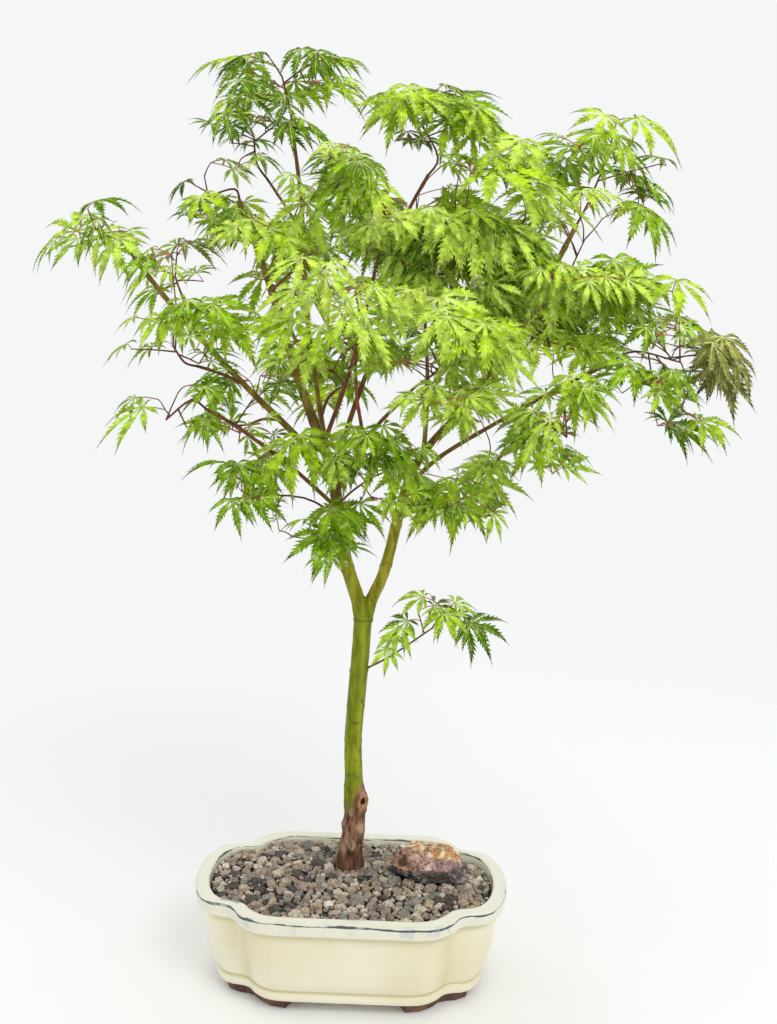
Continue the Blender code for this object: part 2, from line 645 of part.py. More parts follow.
def leaf_solid(leaf):
    """A thin palmate blade with its stalk, as one closed body."""
    along, across, up = leaf_frame(leaf["axis"], leaf["roll"])
    centre = leaf["centre"]
    length = leaf["length"]
    droop = leaf["droop"]
    outline = [centre - along * 1.3 - across * 0.75 - up * 0.35]
    for i, (angle, share) in enumerate(LOBES):
        turn = math.radians(angle)
        reach = length * share
        outline.append(centre + (along * math.cos(turn) + across * math.sin(turn) - up * droop) * reach)
        if i < len(LOBES) - 1:
            next_angle, next_share = LOBES[i + 1]
            turn = math.radians(0.5 * (angle + next_angle))
            reach = length * NOTCH * 0.5 * (share + next_share)
            spread = along * math.cos(turn) + across * math.sin(turn)
            outline.append(centre + (spread - up * droop * 0.5) * reach)
    outline.append(centre - along * 1.3 + across * 0.75 - up * 0.35)
    back = (leaf["root"] - centre).normalized()
    rise = back.cross(across).normalized()
    if rise.dot(up) < 0.0:
        rise = -rise
    root = leaf["root"]
    ring = [root - across * 0.85 * PETIOLE_RADIUS - rise * 0.5 * PETIOLE_RADIUS,
            root + rise * PETIOLE_RADIUS,
            root + across * 0.85 * PETIOLE_RADIUS - rise * 0.5 * PETIOLE_RADIUS]
    points = outline + ring
    points.insert(len(outline), centre + up * BLADE_HALF - along * 0.2)
    points.insert(len(outline) + 1, centre - up * BLADE_HALF + along * 1.2)
    edge = len(outline)
    top = edge
    under = edge + 1
    ring_start = edge + 2
    faces = []
    for i in range(edge - 1):
        faces.append((i, i + 1, top))
        faces.append((i + 1, i, under))
    faces.append((0, under, edge - 1))
    mouth = (0, top, edge - 1)
    for i in range(3):
        j = (i + 1) % 3
        faces.append((mouth[i], mouth[j], ring_start + j))
        faces.append((mouth[i], ring_start + j, ring_start + i))
    faces.append((ring_start, ring_start + 1, ring_start + 2))
    return points, faces


def leaf_pieces(leaf):
    pieces = [(leaf["root"] * 0.3 + leaf["centre"] * 0.7, leaf["centre"], PETIOLE_RADIUS)]
    for tip in leaf_tips(leaf):
        pieces.append((leaf["centre"], tip, 2.2))
    return pieces


def leaf_fits(leaf, name, placed, obstacles):
    for tip in leaf_tips(leaf):
        if not in_cell(tip, name, CELL_MARGIN) or not in_reach(tip, name, 1.12):
            return False
    if not in_cell(leaf["centre"], name, CELL_MARGIN):
        return False
    for other in placed:
        if (other["centre"] - leaf["centre"]).length < 0.42 * leaf["length"]:
            return False
    return obstacles.clear(leaf_pieces(leaf), LIMB_MARGIN)


def point_along(route, share):
    """The place and the heading at a share of the route's length."""
    spans = [(route[i + 1] - route[i]).length for i in range(len(route) - 1)]
    left = share * sum(spans)
    for i, span in enumerate(spans):
        if left <= span or i == len(spans) - 1:
            return route[i].lerp(route[i + 1], left / span), (route[i + 1] - route[i]).normalized()
        left -= span


def grow_twigs(name, stem, rng, obstacles):
    """Twigs leave the stem one after another, each turned on by the golden angle."""
    _, centre, reach, twig_count, _, _, seed = MASSES[name]
    middle = Vector(centre)
    twigs = []
    for k in range(twig_count):
        start, _ = point_along(stem, 0.985 - 0.11 * k)
        for _ in range(LEAF_TRIES):
            turn = 2.399963 * k + seed + rng.uniform(-0.6, 0.6)
            lift = 0.92 - 1.5 * k / (twig_count - 1) + rng.uniform(-0.12, 0.06)
            flat = math.sqrt(1.0 - lift * lift)
            far = rng.uniform(0.42, 0.64)
            way = Vector((math.cos(turn) * flat, math.sin(turn) * flat, lift))
            end = middle + Vector(w * r for w, r in zip(way, reach)) * far
            pieces = [(start.lerp(end, 0.2), end, TWIG_RADIUS)]
            inside = in_cell(end, name, CELL_MARGIN + 1.0) and in_cell(start, name, CELL_MARGIN + 1.0)
            if inside and obstacles.clear(pieces, 0.6, (name,)):
                twigs.append([start, end])
                obstacles.add(name + " twigs", pieces)
                break
    return twigs


def throw_leaf(site, heading, middle, length, attempt, rng):
    """One leaf on its stalk: it stands out from the middle of the mass and hangs at its tips."""
    out = site - middle
    out.z *= 0.4
    if out.length < 1.0:
        out = heading.copy()
    out.normalize()
    aim = Matrix.Rotation(rng.uniform(-1.6, 1.6), 3, "Z") @ (out * 0.8 + heading * 0.5)
    aim.z = rng.uniform(-0.1, 0.7)
    aim.normalize()
    flat = Vector((aim.x, aim.y, 0.0)).normalized()
    axis = Matrix.Rotation(rng.uniform(-0.5, 0.5), 3, "Z") @ flat
    axis.z = -math.tan(rng.uniform(0.1, 1.2))
    return {
        "root": site,
        "centre": site + aim * rng.uniform(*PETIOLE),
        "axis": axis,
        "roll": rng.uniform(-0.45, 0.45),
        "length": length * rng.uniform(0.82, 1.12) * 0.97 ** attempt,
        "droop": rng.uniform(0.12, 0.34),
    }


def grow_mass(name, stem, obstacles):
    """Twigs branch from the stem by a seeded rule, and leaves stand along them to their tips."""
    _, centre, _, _, leaf_count, length, seed = MASSES[name]
    rng = random.Random(seed)
    middle = Vector(centre)
    twigs = grow_twigs(name, stem, rng, obstacles)
    sites = [(twig, share) for share in SITE_SHARES for twig in twigs]
    leaves = []
    for twig, share in sites:
        site, heading = point_along(twig, share)
        for attempt in range(LEAF_TRIES):
            leaf = throw_leaf(site, heading, middle, length, attempt, rng)
            if len(leaves) < leaf_count and leaf_fits(leaf, name, leaves, obstacles):
                leaves.append(leaf)
                pieces = [(start, end, LEAF_OVERLAP) for start, end, _ in leaf_pieces(leaf)]
                obstacles.add(name + " leaves", pieces)
                break
    return twigs, leaves


def make_masses(collection, limbs):
    section = profile(3)
    green = principled("foliage", LEAF_GREEN, 0.55)
    obstacles = Obstacles()
    limb_ends = {}
    names = ["trunk", "stub_left", "stub_right"] + list(LIMBS)
    for name, (route, radii) in zip(names, limbs):
        obstacles.add(name, segments_of(route, radii))
        limb_ends[name] = (route[-1], (route[-1] - route[-2]).normalized())
    stems = {}
    for name in MASSES:
        stems[name] = stem_of(name, limb_ends)
        widths = tapered(len(stems[name]), STEM_RADIUS, TWIG_RADIUS)
        obstacles.add(name, segments_of(stems[name], widths)[:-1])
    for name in MASSES:
        twigs, leaves = grow_mass(name, stems[name], obstacles)
        widths = tapered(len(stems[name]), STEM_RADIUS, TWIG_RADIUS)
        mass = limb_mesh(name, stems[name], widths, section, collection)
        if name in STEM_ROOTS:
            cut_stem(mass, name, dict(zip(names, limbs)), collection)
        pieces = []
        for route in twigs:
            pieces.append(limb_mesh("twig", route, (TWIG_RADIUS, TWIG_TIP), section, collection))
        for leaf in leaves:
            pieces.append(add_object("leaf", *leaf_solid(leaf), collection))
        combine(mass, pieces, "UNION")
        finish(mass, green, 0.0)
    bpy.data.objects.remove(section, do_unlink=True)


def cut_stem(mass, name, limbs, collection):
    """A stem straight from a limb is cut back to a thin clear gap from that limb."""
    round_section = profile(12)
    route, radii = limbs[MASSES[name][0]]
    wider = [r + GAP for r in radii]
    cutter = limb_mesh("cutter", longer(route, GAP), wider, round_section, collection)
    combine(mass, [cutter], "DIFFERENCE")
    bpy.data.objects.remove(round_section, do_unlink=True)


def centre_on_origin(collection):
    """Sets the middle of the whole object's box over the origin, with its feet at z = 0."""
    lows = []
    highs = []
    for obj in collection.objects:
        points = np.array([v.co for v in obj.data.vertices])
        lows.append(points.min(0))
        highs.append(points.max(0))
    low = np.min(lows, axis=0)
    high = np.max(highs, axis=0)
    shift = Vector((-(low[0] + high[0]) / 2.0, -(low[1] + high[1]) / 2.0, -low[2]))
    for obj in collection.objects:
        obj.data.transform(Matrix.Translation(shift))


def main():
    clear_scene()
    bonsai = new_collection("maple_bonsai")
    make_pot(bonsai)
    clay = principled("foot_clay", FOOT_CLAY, 0.8)
    for name, mirror_x, mirror_y in (("foot_front_left", -1, -1), ("foot_front_right", 1, -1),
                                     ("foot_back_left", -1, 1), ("foot_back_right", 1, 1)):
        make_foot(name, mirror_x, mirror_y, clay, bonsai)
    make_soil(bonsai)
    make_rock(bonsai)
    limbs = make_limbs(bonsai)
    make_masses(bonsai, limbs)
    centre_on_origin(bonsai)


main()
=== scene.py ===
# A maple grown as a bonsai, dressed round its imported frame: glazed pot, gravel, stone, bark and leaves.
# Lengths in the dictionaries are in mm from the middle of the pot, as in the part's own source.

import math
import random

import bpy
import numpy as np
from mathutils import Matrix, Vector, noise


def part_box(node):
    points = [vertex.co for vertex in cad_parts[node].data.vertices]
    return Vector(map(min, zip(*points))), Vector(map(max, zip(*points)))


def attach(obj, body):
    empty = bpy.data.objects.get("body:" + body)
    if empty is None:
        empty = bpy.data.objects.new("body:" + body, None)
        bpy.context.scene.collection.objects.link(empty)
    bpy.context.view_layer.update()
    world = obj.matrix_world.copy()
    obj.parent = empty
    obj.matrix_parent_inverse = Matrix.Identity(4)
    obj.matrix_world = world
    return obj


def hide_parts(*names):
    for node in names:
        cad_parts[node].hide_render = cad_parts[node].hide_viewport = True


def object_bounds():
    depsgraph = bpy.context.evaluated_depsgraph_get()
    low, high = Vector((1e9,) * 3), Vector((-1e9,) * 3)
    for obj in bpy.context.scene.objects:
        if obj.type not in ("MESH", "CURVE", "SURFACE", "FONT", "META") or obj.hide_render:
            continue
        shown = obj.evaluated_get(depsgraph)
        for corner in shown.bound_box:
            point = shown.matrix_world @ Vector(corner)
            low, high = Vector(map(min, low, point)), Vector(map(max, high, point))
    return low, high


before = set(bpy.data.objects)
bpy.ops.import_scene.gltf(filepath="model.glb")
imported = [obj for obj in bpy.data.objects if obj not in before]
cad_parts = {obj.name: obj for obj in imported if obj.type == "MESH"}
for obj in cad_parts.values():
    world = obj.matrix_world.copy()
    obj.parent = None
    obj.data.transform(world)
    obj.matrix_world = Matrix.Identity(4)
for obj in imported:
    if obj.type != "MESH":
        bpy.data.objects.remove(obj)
cadLow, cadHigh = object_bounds()
mm = 0.001
golden = 2.399963  # the turn from one shoot to the next, in radians
potLow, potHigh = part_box("pot")
potMiddle = Vector(((potLow.x + potHigh.x) / 2, (potLow.y + potHigh.y) / 2, potLow.z - 3 * mm))
upright = Vector((0, 0, 1))
boxLow, boxHigh = ((corner - potMiddle) / mm for corner in (cadLow, cadHigh))
print("frame loaded:", len(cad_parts), "nodes")


# Small helpers

def pickOnly(piece):
    bpy.ops.object.select_all(action="DESELECT")
    piece.select_set(True)
    bpy.context.view_layer.objects.active = piece


def named(name):  # the piece that an operator has just made
    bpy.context.object.name = name
    return bpy.context.object


def editAll():
    bpy.ops.object.mode_set(mode="EDIT")
    bpy.ops.mesh.select_all(action="SELECT")


def toMetres(points):
    return np.asarray(points, float) * mm + np.array(potMiddle)


def readPoints(piece, kind):
    flat = np.empty(len(piece.data.vertices) * 3)
    piece.data.vertices.foreach_get(kind, flat)
    return flat.reshape(-1, 3)


def pointsOf(piece):  # in mm from the middle of the pot
    return (readPoints(piece, "co") - np.array(potMiddle)) / mm


def movePoints(piece, points):
    piece.data.vertices.foreach_set("co", toMetres(points).ravel())
    piece.data.update()


class Heap:  # points, faces and their slots, gathered into one mesh
    def __init__(self):
        self.points = []
        self.faces = []
        self.kinds = []

    def add(self, points, faces, kinds=()):
        first = len(self.points)
        self.points.extend(tuple(p) for p in points)
        self.faces.extend([i + first for i in face] for face in faces)
        self.kinds.extend(kinds)

    def piece(self, name, materials):
        mesh = bpy.data.meshes.new(name)
        mesh.from_pydata(toMetres(self.points).tolist(), [], self.faces)
        piece = bpy.data.objects.new(name, mesh)
        bpy.context.scene.collection.objects.link(piece)
        for material in materials:
            mesh.materials.append(material)
        if self.kinds:
            mesh.polygons.foreach_set("material_index", np.array(self.kinds, np.int32))
        mesh.update()
        return piece


def coat(piece, material, smoothAngle=None):
    piece.data.materials.clear()
    piece.data.materials.append(material)
    if smoothAngle is not None:
        pickOnly(piece)
        bpy.ops.object.shade_smooth_by_angle(angle=math.radians(smoothAngle))


def addModifier(piece, kind, **values):
    pickOnly(piece)
    modifier = piece.modifiers.new(kind.lower(), kind)
    for key, value in values.items():
        setattr(modifier, key, value)
    bpy.ops.object.modifier_apply(modifier=modifier.name)


def turnOut(piece):  # doubles merged, faces turned outwards
    pickOnly(piece)
    editAll()
    bpy.ops.mesh.remove_doubles(threshold=1e-6)
    bpy.ops.mesh.normals_make_consistent(inside=False)
    bpy.ops.object.mode_set(mode="OBJECT")


def giveAttributes(piece, **lists):
    for name, values in lists.items():
        layer = piece.data.attributes.new(name, "FLOAT", "POINT")
        layer.data.foreach_set("value", np.asarray(values, np.float32))


def rideRoot(piece, slot, *nodes):
    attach(piece, "root")
    if nodes:
        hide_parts(*nodes)


def smoothStep(value, low, high):
    share = np.clip((np.asarray(value, float) - low) / (high - low), 0, 1)
    return share * share * (3 - 2 * share)


def within(value, low, full, last, high):  # up from low to full, and down from last to high
    return smoothStep(value, low, full) * smoothStep(-value, -high, -last)


def bell(value, middle, width):
    return np.exp(-((value - middle) / width) ** 2)


def curvePoint(a, b, c, d, t):  # on a smooth curve through four points, from b to c
    return 0.5 * (2 * b + (c - a) * t + (2 * a - 5 * b + 4 * c - d) * t * t
                  + (3 * b - a - 3 * c + d) * t ** 3)


# Materials

def shade(colour):  # a screen colour as the shader's own four numbers, unless it has four already
    if len(colour) == 4:
        return colour
    shares = [c / 255 for c in colour]
    return (*(s / 12.92 if s <= 0.04045 else ((s + 0.055) / 1.055) ** 2.4 for s in shares), 1)


def scaled(colour, factor):
    return (*(min(1, c * factor) for c in shade(colour)[:3]), 1)


class Finish:
    def __init__(self, name, colour, roughness, centre=None, shine=0.5):
        self.material = bpy.data.materials.new(name)
        self.material.use_nodes = True
        self.material.diffuse_color = shade(colour)
        self.tree = self.material.node_tree
        self.shader = self.tree.nodes["Principled BSDF"]
        self.fill(self.shader, {"Base Color": shade(colour), "Roughness": roughness,
                                "Specular IOR Level": shine})
        self.place = self.node("TexCoord").outputs["Object"]
        if centre is not None:
            self.place = self.mapped({"Location": [-c for c in centre]})

    def fill(self, node, values):
        for key, value in values.items():
            if isinstance(value, bpy.types.NodeSocket):
                self.tree.links.new(value, node.inputs[key])
            else:
                node.inputs[key].default_value = value

    def node(self, kind, values=None, **settings):
        made = self.tree.nodes.new("ShaderNode" + kind)
        for key, value in settings.items():
            setattr(made, key, value)
        self.fill(made, values or {})
        return made

    def mapped(self, values):
        return self.node("Mapping", {"Vector": self.place, **values}).outputs["Vector"]

    def noise(self, scale, detail=4, rough=0.6, stretch=None):
        place = self.mapped({"Scale": (1, 1, stretch)}) if stretch else self.place
        values = {"Vector": place, "Scale": scale, "Detail": detail, "Roughness": rough}
        return self.node("TexNoise", values).outputs["Fac"]

    def cells(self, scale):
        return self.node("TexVoronoi", {"Vector": self.place, "Scale": scale}).outputs["Distance"]

    def band(self, value, low, high, start=0, end=1):
        values = {"Value": value, "From Min": low, "From Max": high, "To Min": start, "To Max": end}
        return self.node("MapRange", values, interpolation_type="SMOOTHSTEP").outputs["Result"]

    def maths(self, operation, *values):
        return self.node("Math", dict(enumerate(values)), operation=operation).outputs["Value"]

    def times(self, first, second):
        return self.maths("MULTIPLY", first, second)

    def plus(self, first, second):
        return self.maths("ADD", first, second)

    def minus(self, first, second):
        return self.maths("SUBTRACT", first, second)

    def axis(self, letter):
        return self.node("SeparateXYZ", {"Vector": self.place}).outputs[letter]

    def attribute(self, name):
        return self.node("Attribute", attribute_name=name).outputs["Fac"]

    def blend(self, share, first, second):
        ends = [shade(end) if isinstance(end, tuple) else end for end in (first, second)]
        return self.node("Mix", {0: share, 6: ends[0], 7: ends[1]}, data_type="RGBA").outputs[2]

    def tone(self, value, low, high, first, second):
        return self.blend(self.band(value, low, high), first, second)

    def paint(self, colour):
        self.fill(self.shader, {"Base Color": colour})

    def gloss(self, value):
        self.fill(self.shader, {"Roughness": value})

    def bump(self, height, distance, strength=1):
        node = self.node("Bump", {"Height": height, "Distance": distance, "Strength": strength})
        normal = self.shader.inputs["Normal"]
        if normal.is_linked:
            self.fill(node, {"Normal": normal.links[0].from_socket})
        self.fill(self.shader, {"Normal": node.outputs["Normal"]})


# Camera, floor and light

camera = {
    "place": (0.055, -1.012, 0.587),  # metres from the middle of the pot, above the floor
    "turns": ((1.8, "Z"), (78.7, "X"), (1.3, "Z")),  # in degrees, each about its own axes
    "lens": 47.46,
}
studio = {
    "sky": (0.915, 0.922, 0.925, 1),
    "skyStrength": 1,
    "floor": (0.90, 0.90, 0.90, 1),
    "floorRadius": 12,
    "fade": (0.35, 1.3),  # metres from the object, over which the floor fades into the background
    # name, power, place and size
    "lamps": (("keyLight", 19, (1, -1.5, 2.1), 1.2), ("rimLight", 4, (-1.5, 0.9, 1.7), 1)),
    "aim": (0, 0, 0.35),
}


def makeCamera():
    x, y, z = camera["place"]
    spot = Vector((potMiddle.x + x, potMiddle.y + y, z))
    bpy.ops.object.camera_add(location=spot)
    made = named("frontCamera")
    turned = Matrix.Translation(spot)
    for angle, axis in camera["turns"]:
        turned = turned @ Matrix.Rotation(math.radians(angle), 4, axis)
    made.matrix_world = turned
    made.data.sensor_width = 36
    made.data.lens = camera["lens"]
    made.data.clip_start = 0.01
    made.data.clip_end = 100
    bpy.context.scene.camera = made


def makeStudio():
    scene = bpy.context.scene
    scene.view_settings.view_transform = "Standard"
    scene.world = bpy.data.worlds.new("studioSky")
    scene.world.use_nodes = True
    glow = {"Color": studio["sky"], "Strength": studio["skyStrength"]}
    for key, value in glow.items():
        scene.world.node_tree.nodes["Background"].inputs[key].default_value = value
    bpy.ops.mesh.primitive_circle_add(vertices=96, radius=studio["floorRadius"], fill_type="NGON",
                                      location=(0, 0, 0))
    floor = named("paleFloor")
    look = Finish("paleFloor", studio["floor"], 0.85)
    look.bump(look.noise(300), 0.0002, 0.2)
    away = look.node("VectorMath", {0: look.place}, operation="LENGTH").outputs["Value"]
    shaders = {0: look.band(away, *studio["fade"]), 1: look.shader.outputs["BSDF"],
               2: look.node("Emission", glow).outputs["Emission"]}
    mixed = look.node("MixShader", shaders).outputs["Shader"]
    look.fill(look.tree.nodes["Material Output"], {"Surface": mixed})
    coat(floor, look.material)
    for name, power, place, size in studio["lamps"]:
        bpy.ops.object.light_add(type="AREA", location=place)
        lamp = named(name)
        lamp.data.energy = power
        lamp.data.size = size
        aim = Vector(studio["aim"]) - Vector(place)
        lamp.rotation_euler = aim.to_track_quat("-Z", "Y").to_euler()


makeCamera()
makeStudio()
print("camera, floor and light made")


# Pot

pot = {
    "halfLength": 125,
    "halfDepth": 82,
    # a quarter of the rim, from the middle of the front to the middle of the end
    "quarter": ((0, 82), (30, 82), (57, 81.6), (71, 78), (81, 69.5), (88, 59.5), (95, 55.5), (105, 53),
                (114, 46), (121, 31), (124.2, 15), (125, 0)),
    "spanSteps": 5,
    # each level is drawn in from the rim's edge by so much, at so much height
    "base": ((22, 3.1), (18.4, 3), (16.6, 3.5), (15.9, 4.8), (15.8, 7), (15.9, 9.4), (16.6, 10.4), (17.4, 11),
             (17.3, 11.7), (16.2, 12.6), (15.1, 14)),
    "wall": (14.5, 14, 13.5, 13.1, 12.6, 12.1, 11.6, 11.1, 10.6, 10.3, 10, 9.7, 9.4, 9.1, 8.8, 8.5, 8.3, 8,
             7.7, 7.4, 7.2, 7, 6.9),  # every 2 mm from 16 mm up
    "rim": ((7, 61.6), (7.2, 62.8), (6.9, 63.9), (5.8, 64.8), (3.8, 65.5), (1.8, 66.2), (0.6, 67.4),
            (0.15, 69), (0.05, 71), (0, 73), (0, 74.6), (0.25, 75.9), (0.75, 76.9), (1.5, 77.6), (2.6, 77.95),
            (5, 78), (8, 78)),
    "inside": ((9.6, 77.9), (10.5, 77.4), (11.1, 76.4), (11.4, 74.6), (11.7, 72), (12.2, 69), (16, 40),
               (24, 16.5)),
    "panelRise": 0.9,
    "frontPanel": ((-62, -56), (50, 56)),  # where its ends start to rise and its face begins
    "endPanel": ((-40, -34), (96, 101)),
    "panelHeights": (15, 19, 54.5, 58.5),
    # dark lines where the glaze runs thin on the rim's edges: edge, height, half width and colour
    "lines": (("outerEdge", 75.8, 0.0005, (66, 76, 86)), ("innerEdge", 76.6, 0.0004, (84, 88, 84))),
}


def planOutline(spanSteps):  # the whole rim as a smooth closed outline
    quarter = list(pot["quarter"])
    corners = [(x, -y) for x, y in quarter[:-1]] + [(x, y) for x, y in reversed(quarter[1:])]
    corners += [(-x, y) for x, y in quarter[:-1]] + [(-x, -y) for x, y in reversed(quarter[1:])]
    known = np.array(corners)
    outline = []
    for i in range(len(known)):
        span = [known[(i + k) % len(known)] for k in (-1, 0, 1, 2)]
        outline.extend(curvePoint(*span, k / spanSteps) for k in range(spanSteps))
    return np.array(outline)


def drawnIn(inset):
    return (pot["halfLength"] - inset) / pot["halfLength"], (pot["halfDepth"] - inset) / pot["halfDepth"]


def ringStack(name, levels, spanSteps):  # an outline extruded level by level, each (scale x, scale y, height)
    outline = planOutline(spanSteps)
    bpy.ops.mesh.primitive_circle_add(vertices=len(outline), radius=0.1, fill_type="NOTHING",
                                      location=(0, 0, 0))
    piece = named(name)
    scaleX, scaleY, height = levels[0]
    for vertex, (x, y) in zip(piece.data.vertices, outline):
        vertex.co = Vector((x * scaleX * mm, y * scaleY * mm, height * mm))
    editAll()
    bpy.ops.mesh.edge_face_add()
    bpy.ops.mesh.select_mode(type="VERT")
    for before, after in zip(levels, levels[1:]):
        step = {"value": (0, 0, (after[2] - before[2]) * mm)}
        bpy.ops.mesh.extrude_region_move(TRANSFORM_OT_translate=step)
        bpy.ops.transform.resize(value=(after[0] / before[0], after[1] / before[1], 1),
                                 center_override=(0, 0, 0))
    bpy.ops.object.mode_set(mode="OBJECT")
    piece.location = potMiddle
    pickOnly(piece)
    bpy.ops.object.transform_apply(location=True, rotation=True, scale=True)
    return piece


def glazeFinish():
    look = Finish("creamGlaze", (238, 234, 208), 0.16)
    body = look.tone(look.noise(14, 3, 0.5), 0.35, 0.68, (235, 230, 206), (226, 219, 187))
    milky = look.times(look.band(look.attribute("rimShare"), 0, 1), 0.72)
    body = look.blend(milky, body, (231, 230, 215))
    specks = look.band(look.cells(150), 0.035, 0.06, 1, 0)
    rare = look.band(look.noise(60, 2), 0.60, 0.66)
    body = look.blend(look.times(specks, rare), body, (112, 104, 84))
    # painted shade: the glaze darkens to olive in the pot's grooves and beside the panels' corners, where
    # shade falls
    body = look.blend(look.times(look.attribute("hollow"), 0.7), body, (204, 193, 140))
    below = look.attribute("underLine")
    streak = look.times(look.band(look.noise(70, 5, 0.7, 0.35), 0.50, 0.64), below)
    body = look.blend(look.times(below, 0.4), body, (216, 212, 188))
    body = look.blend(look.times(streak, 0.7), body, (184, 195, 196))
    wander = look.band(look.noise(22, 3), 0.25, 0.75, -0.0011, 0.0011)
    for side, height, half, colour in pot["lines"]:
        level = look.minus(look.axis("Z"), potMiddle.z + height * mm)
        apart = look.maths("ABSOLUTE", look.plus(level, wander))
        apart = look.plus(apart, look.band(look.noise(34, 3), 0.34, 0.66, -0.0005, 0.0003))
        line = look.band(apart, half * 0.5, half * 1.6, 1, 0)
        kept = look.band(look.noise(46, 4, 0.7), 0.36, 0.50, 0.5, 1)
        body = look.blend(look.times(look.times(line, kept), look.attribute(side)), body, colour)
    look.paint(body)
    look.gloss(look.band(look.noise(30), 0.3, 0.7, 0.12, 0.24))
    look.bump(look.noise(55, 2), 0.0004, 0.25)
    return look.material


def raised(across, out, edges):  # a panel on two opposite sides, with soft rounded edges
    return smoothStep(-np.abs(across), *edges[0]) * smoothStep(np.abs(out), *edges[1])


def makePot():
    wall = [(inset, 16 + 2 * i) for i, inset in enumerate(pot["wall"])]
    outside = [*pot["base"], *wall, *pot["rim"]]
    levels = [(*drawnIn(inset), height) for inset, height in [*outside, *pot["inside"]]]
    piece = ringStack("glazedPot", levels, pot["spanSteps"])
    points = pointsOf(piece)
    x, y, z = points.T
    panels = np.maximum(raised(x, y, pot["frontPanel"]), raised(y, x, pot["endPanel"]))
    outer = smoothStep(np.hypot(x / 118, y / 75), 0.80, 0.84)
    rise = pot["panelRise"] * panels * within(z, *pot["panelHeights"]) * outer
    outline = planOutline(pot["spanSteps"])
    rise[len(outside) * len(outline):] = 0
    away = np.stack([x / pot["halfLength"] ** 2, y / pot["halfDepth"] ** 2, 0 * z], 1)
    away /= np.maximum(np.linalg.norm(away, axis=1), 1e-9)[:, None]
    movePoints(piece, points + away * rise[:, None])
    turnOut(piece)
    x, y, z = pointsOf(piece).T
    turns = np.arctan2(outline[:, 1], outline[:, 0])
    order = np.argsort(turns)
    own = np.interp(np.arctan2(y, x), turns[order], np.hypot(*outline.T)[order], period=2 * math.pi)
    inset = own - np.hypot(x, y)
    share = np.hypot(x / pot["halfLength"], y / pot["halfDepth"])
    # where shade falls in the foot's groove, the groove under the rim and the corners beside the panels,
    # painted into the glaze
    hollow = bell(z, 11.2, 1.3) + 0.8 * bell(z, 62.8, 2.2) * (share < 1.05)
    notch = bell(np.abs(x), 78, 6) * within(z, 10, 18, 58, 64)
    giveAttributes(piece, outerEdge=smoothStep(-inset, -3.2, -2.2) * smoothStep(z, 66, 70),
                   innerEdge=smoothStep(inset, 8, 9) * smoothStep(z, 66, 70),
                   underLine=smoothStep(z, 67, 71) * smoothStep(-inset, -3.5, -1.5),
                   rimShare=smoothStep(z, 64, 68), hollow=np.clip(hollow + 0.55 * notch, 0, 1))
    coat(piece, glazeFinish(), 40)
    rideRoot(piece, "pot_glaze", "pot")


def makeFeet():
    look = Finish("darkClay", (92, 62, 50), 0.75)
    look.paint(look.tone(look.noise(60), 0.3, 0.7, (74, 48, 40), (118, 82, 64)))
    look.gloss(look.band(look.noise(90), 0.3, 0.7, 0.6, 0.85))
    look.bump(look.noise(500), 0.0005, 0.5)
    for name in ("foot_front_left", "foot_front_right", "foot_back_left", "foot_back_right"):
        coat(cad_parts[name], look.material)


makePot()
makeFeet()
print("pot and feet made")


# Gravel

gravel = {
    "wallInset": 12,
    "edgeHeight": 73.6,
    "mound": 2.4,
    "slant": 1.7,  # the bed is so much higher at its left rear corner, and lower at the right one
    "bedFoot": (13.4, 60),  # inset and height
    "bedEdge": (12.3, 71),
    "bedRings": (0.96, 0.8, 0.6, 0.4, 0.2, 0.05),
    "bedDepth": 3.6,
    "field": (112, 69),  # half the length and depth that grains are dealt out in
    "grains": 2600,
    "shapes": 14,
    "median": 2.35,
    "spread": 0.48,  # of the sizes' logarithm
    "smallest": 1.3,
    "largest": 7,
    "stretch": ((0.9, 1.25), (0.75, 1), (0.55, 0.85)),  # of a grain's three sides
    "apart": 0.78,  # of two grains' sizes, that their middles keep
    "trunkClear": 10.5,  # how far from the trunk's middle grains lie
    "rockClear": 0.84,  # as a share of the stone's half length and depth
    "tries": 30,
    "sunk": 0.34,  # of a grain's size, below the bed's top
    "uneven": (-0.6, 1.2),
    "deepest": -2.9,  # where grains lie that find no room on top
    "seed": 12,
    "tints": (  # name, screen colour, share of the upper grains
        ("Brown", (172, 154, 136), 0.30),
        ("Taupe", (214, 200, 181), 0.24),
        ("Tan", (192, 171, 146), 0.16),
        ("Grey", (154, 149, 139), 0.18),
        ("Pale", (238, 232, 220), 0.015),
        ("Dark", (92, 86, 80), 0.105),
        # the last, near-black tint goes to the grains underneath: painted shade between the upper ones
        ("Deep", (50, 44, 39), 0),
    ),
}
trunk = {
    "foot": (-3, 23),
    "route": ((-3, 23, 76.6), (-2.2, 23, 92), (0.2, 23, 116), (-0.8, 23, 150), (-2, 23, 185), (0, 23, 219),
              (2.2, 23, 252), (4.4, 23, 290)),
    "radii": (11, 9.6, 8.6, 7.5, 7, 7.2, 7.3, 7.2),
    "flare": 1.5,
    "flareTall": 26,
    "sunkTo": 74,
    "voxel": 0.75,
    "stemTop": 275,
    "swellings": ((3.2, 134, 9, -0.3), (1.6, 112, 6, 2.8)),  # size, height, how tall and the turn it faces
    "hole": (-0.55, 135),  # the old knot's turn about the trunk and its height
    # small dark marks: turn, height, half the width and half the height
    "marks": ((-1.40, 202, 3, 1.2), (-0.75, 177, 1.2, 2), (-1.85, 157.5, 3.2, 1.3), (-1.15, 155, 1.3, 1.6),
              (-0.80, 220, 1, 1.8), (-1.30, 170, 1.2, 0.8), (2, 190, 2.4, 1), (1.2, 226, 1.8, 0.9)),
    "rings": ((126, 0.3), (146, 0.3), (186, 0.35), (214, 0.3), (244, 0.45), (286, 0.6), (330, 0.4),
              (362, 0.4)),  # old nodes: height and how far each stands out
    "rough": ((74, 130, 152, 300, 400), (0.9, 1.15, 0.3, 0.22, 0.18)),  # heights and how strong
}
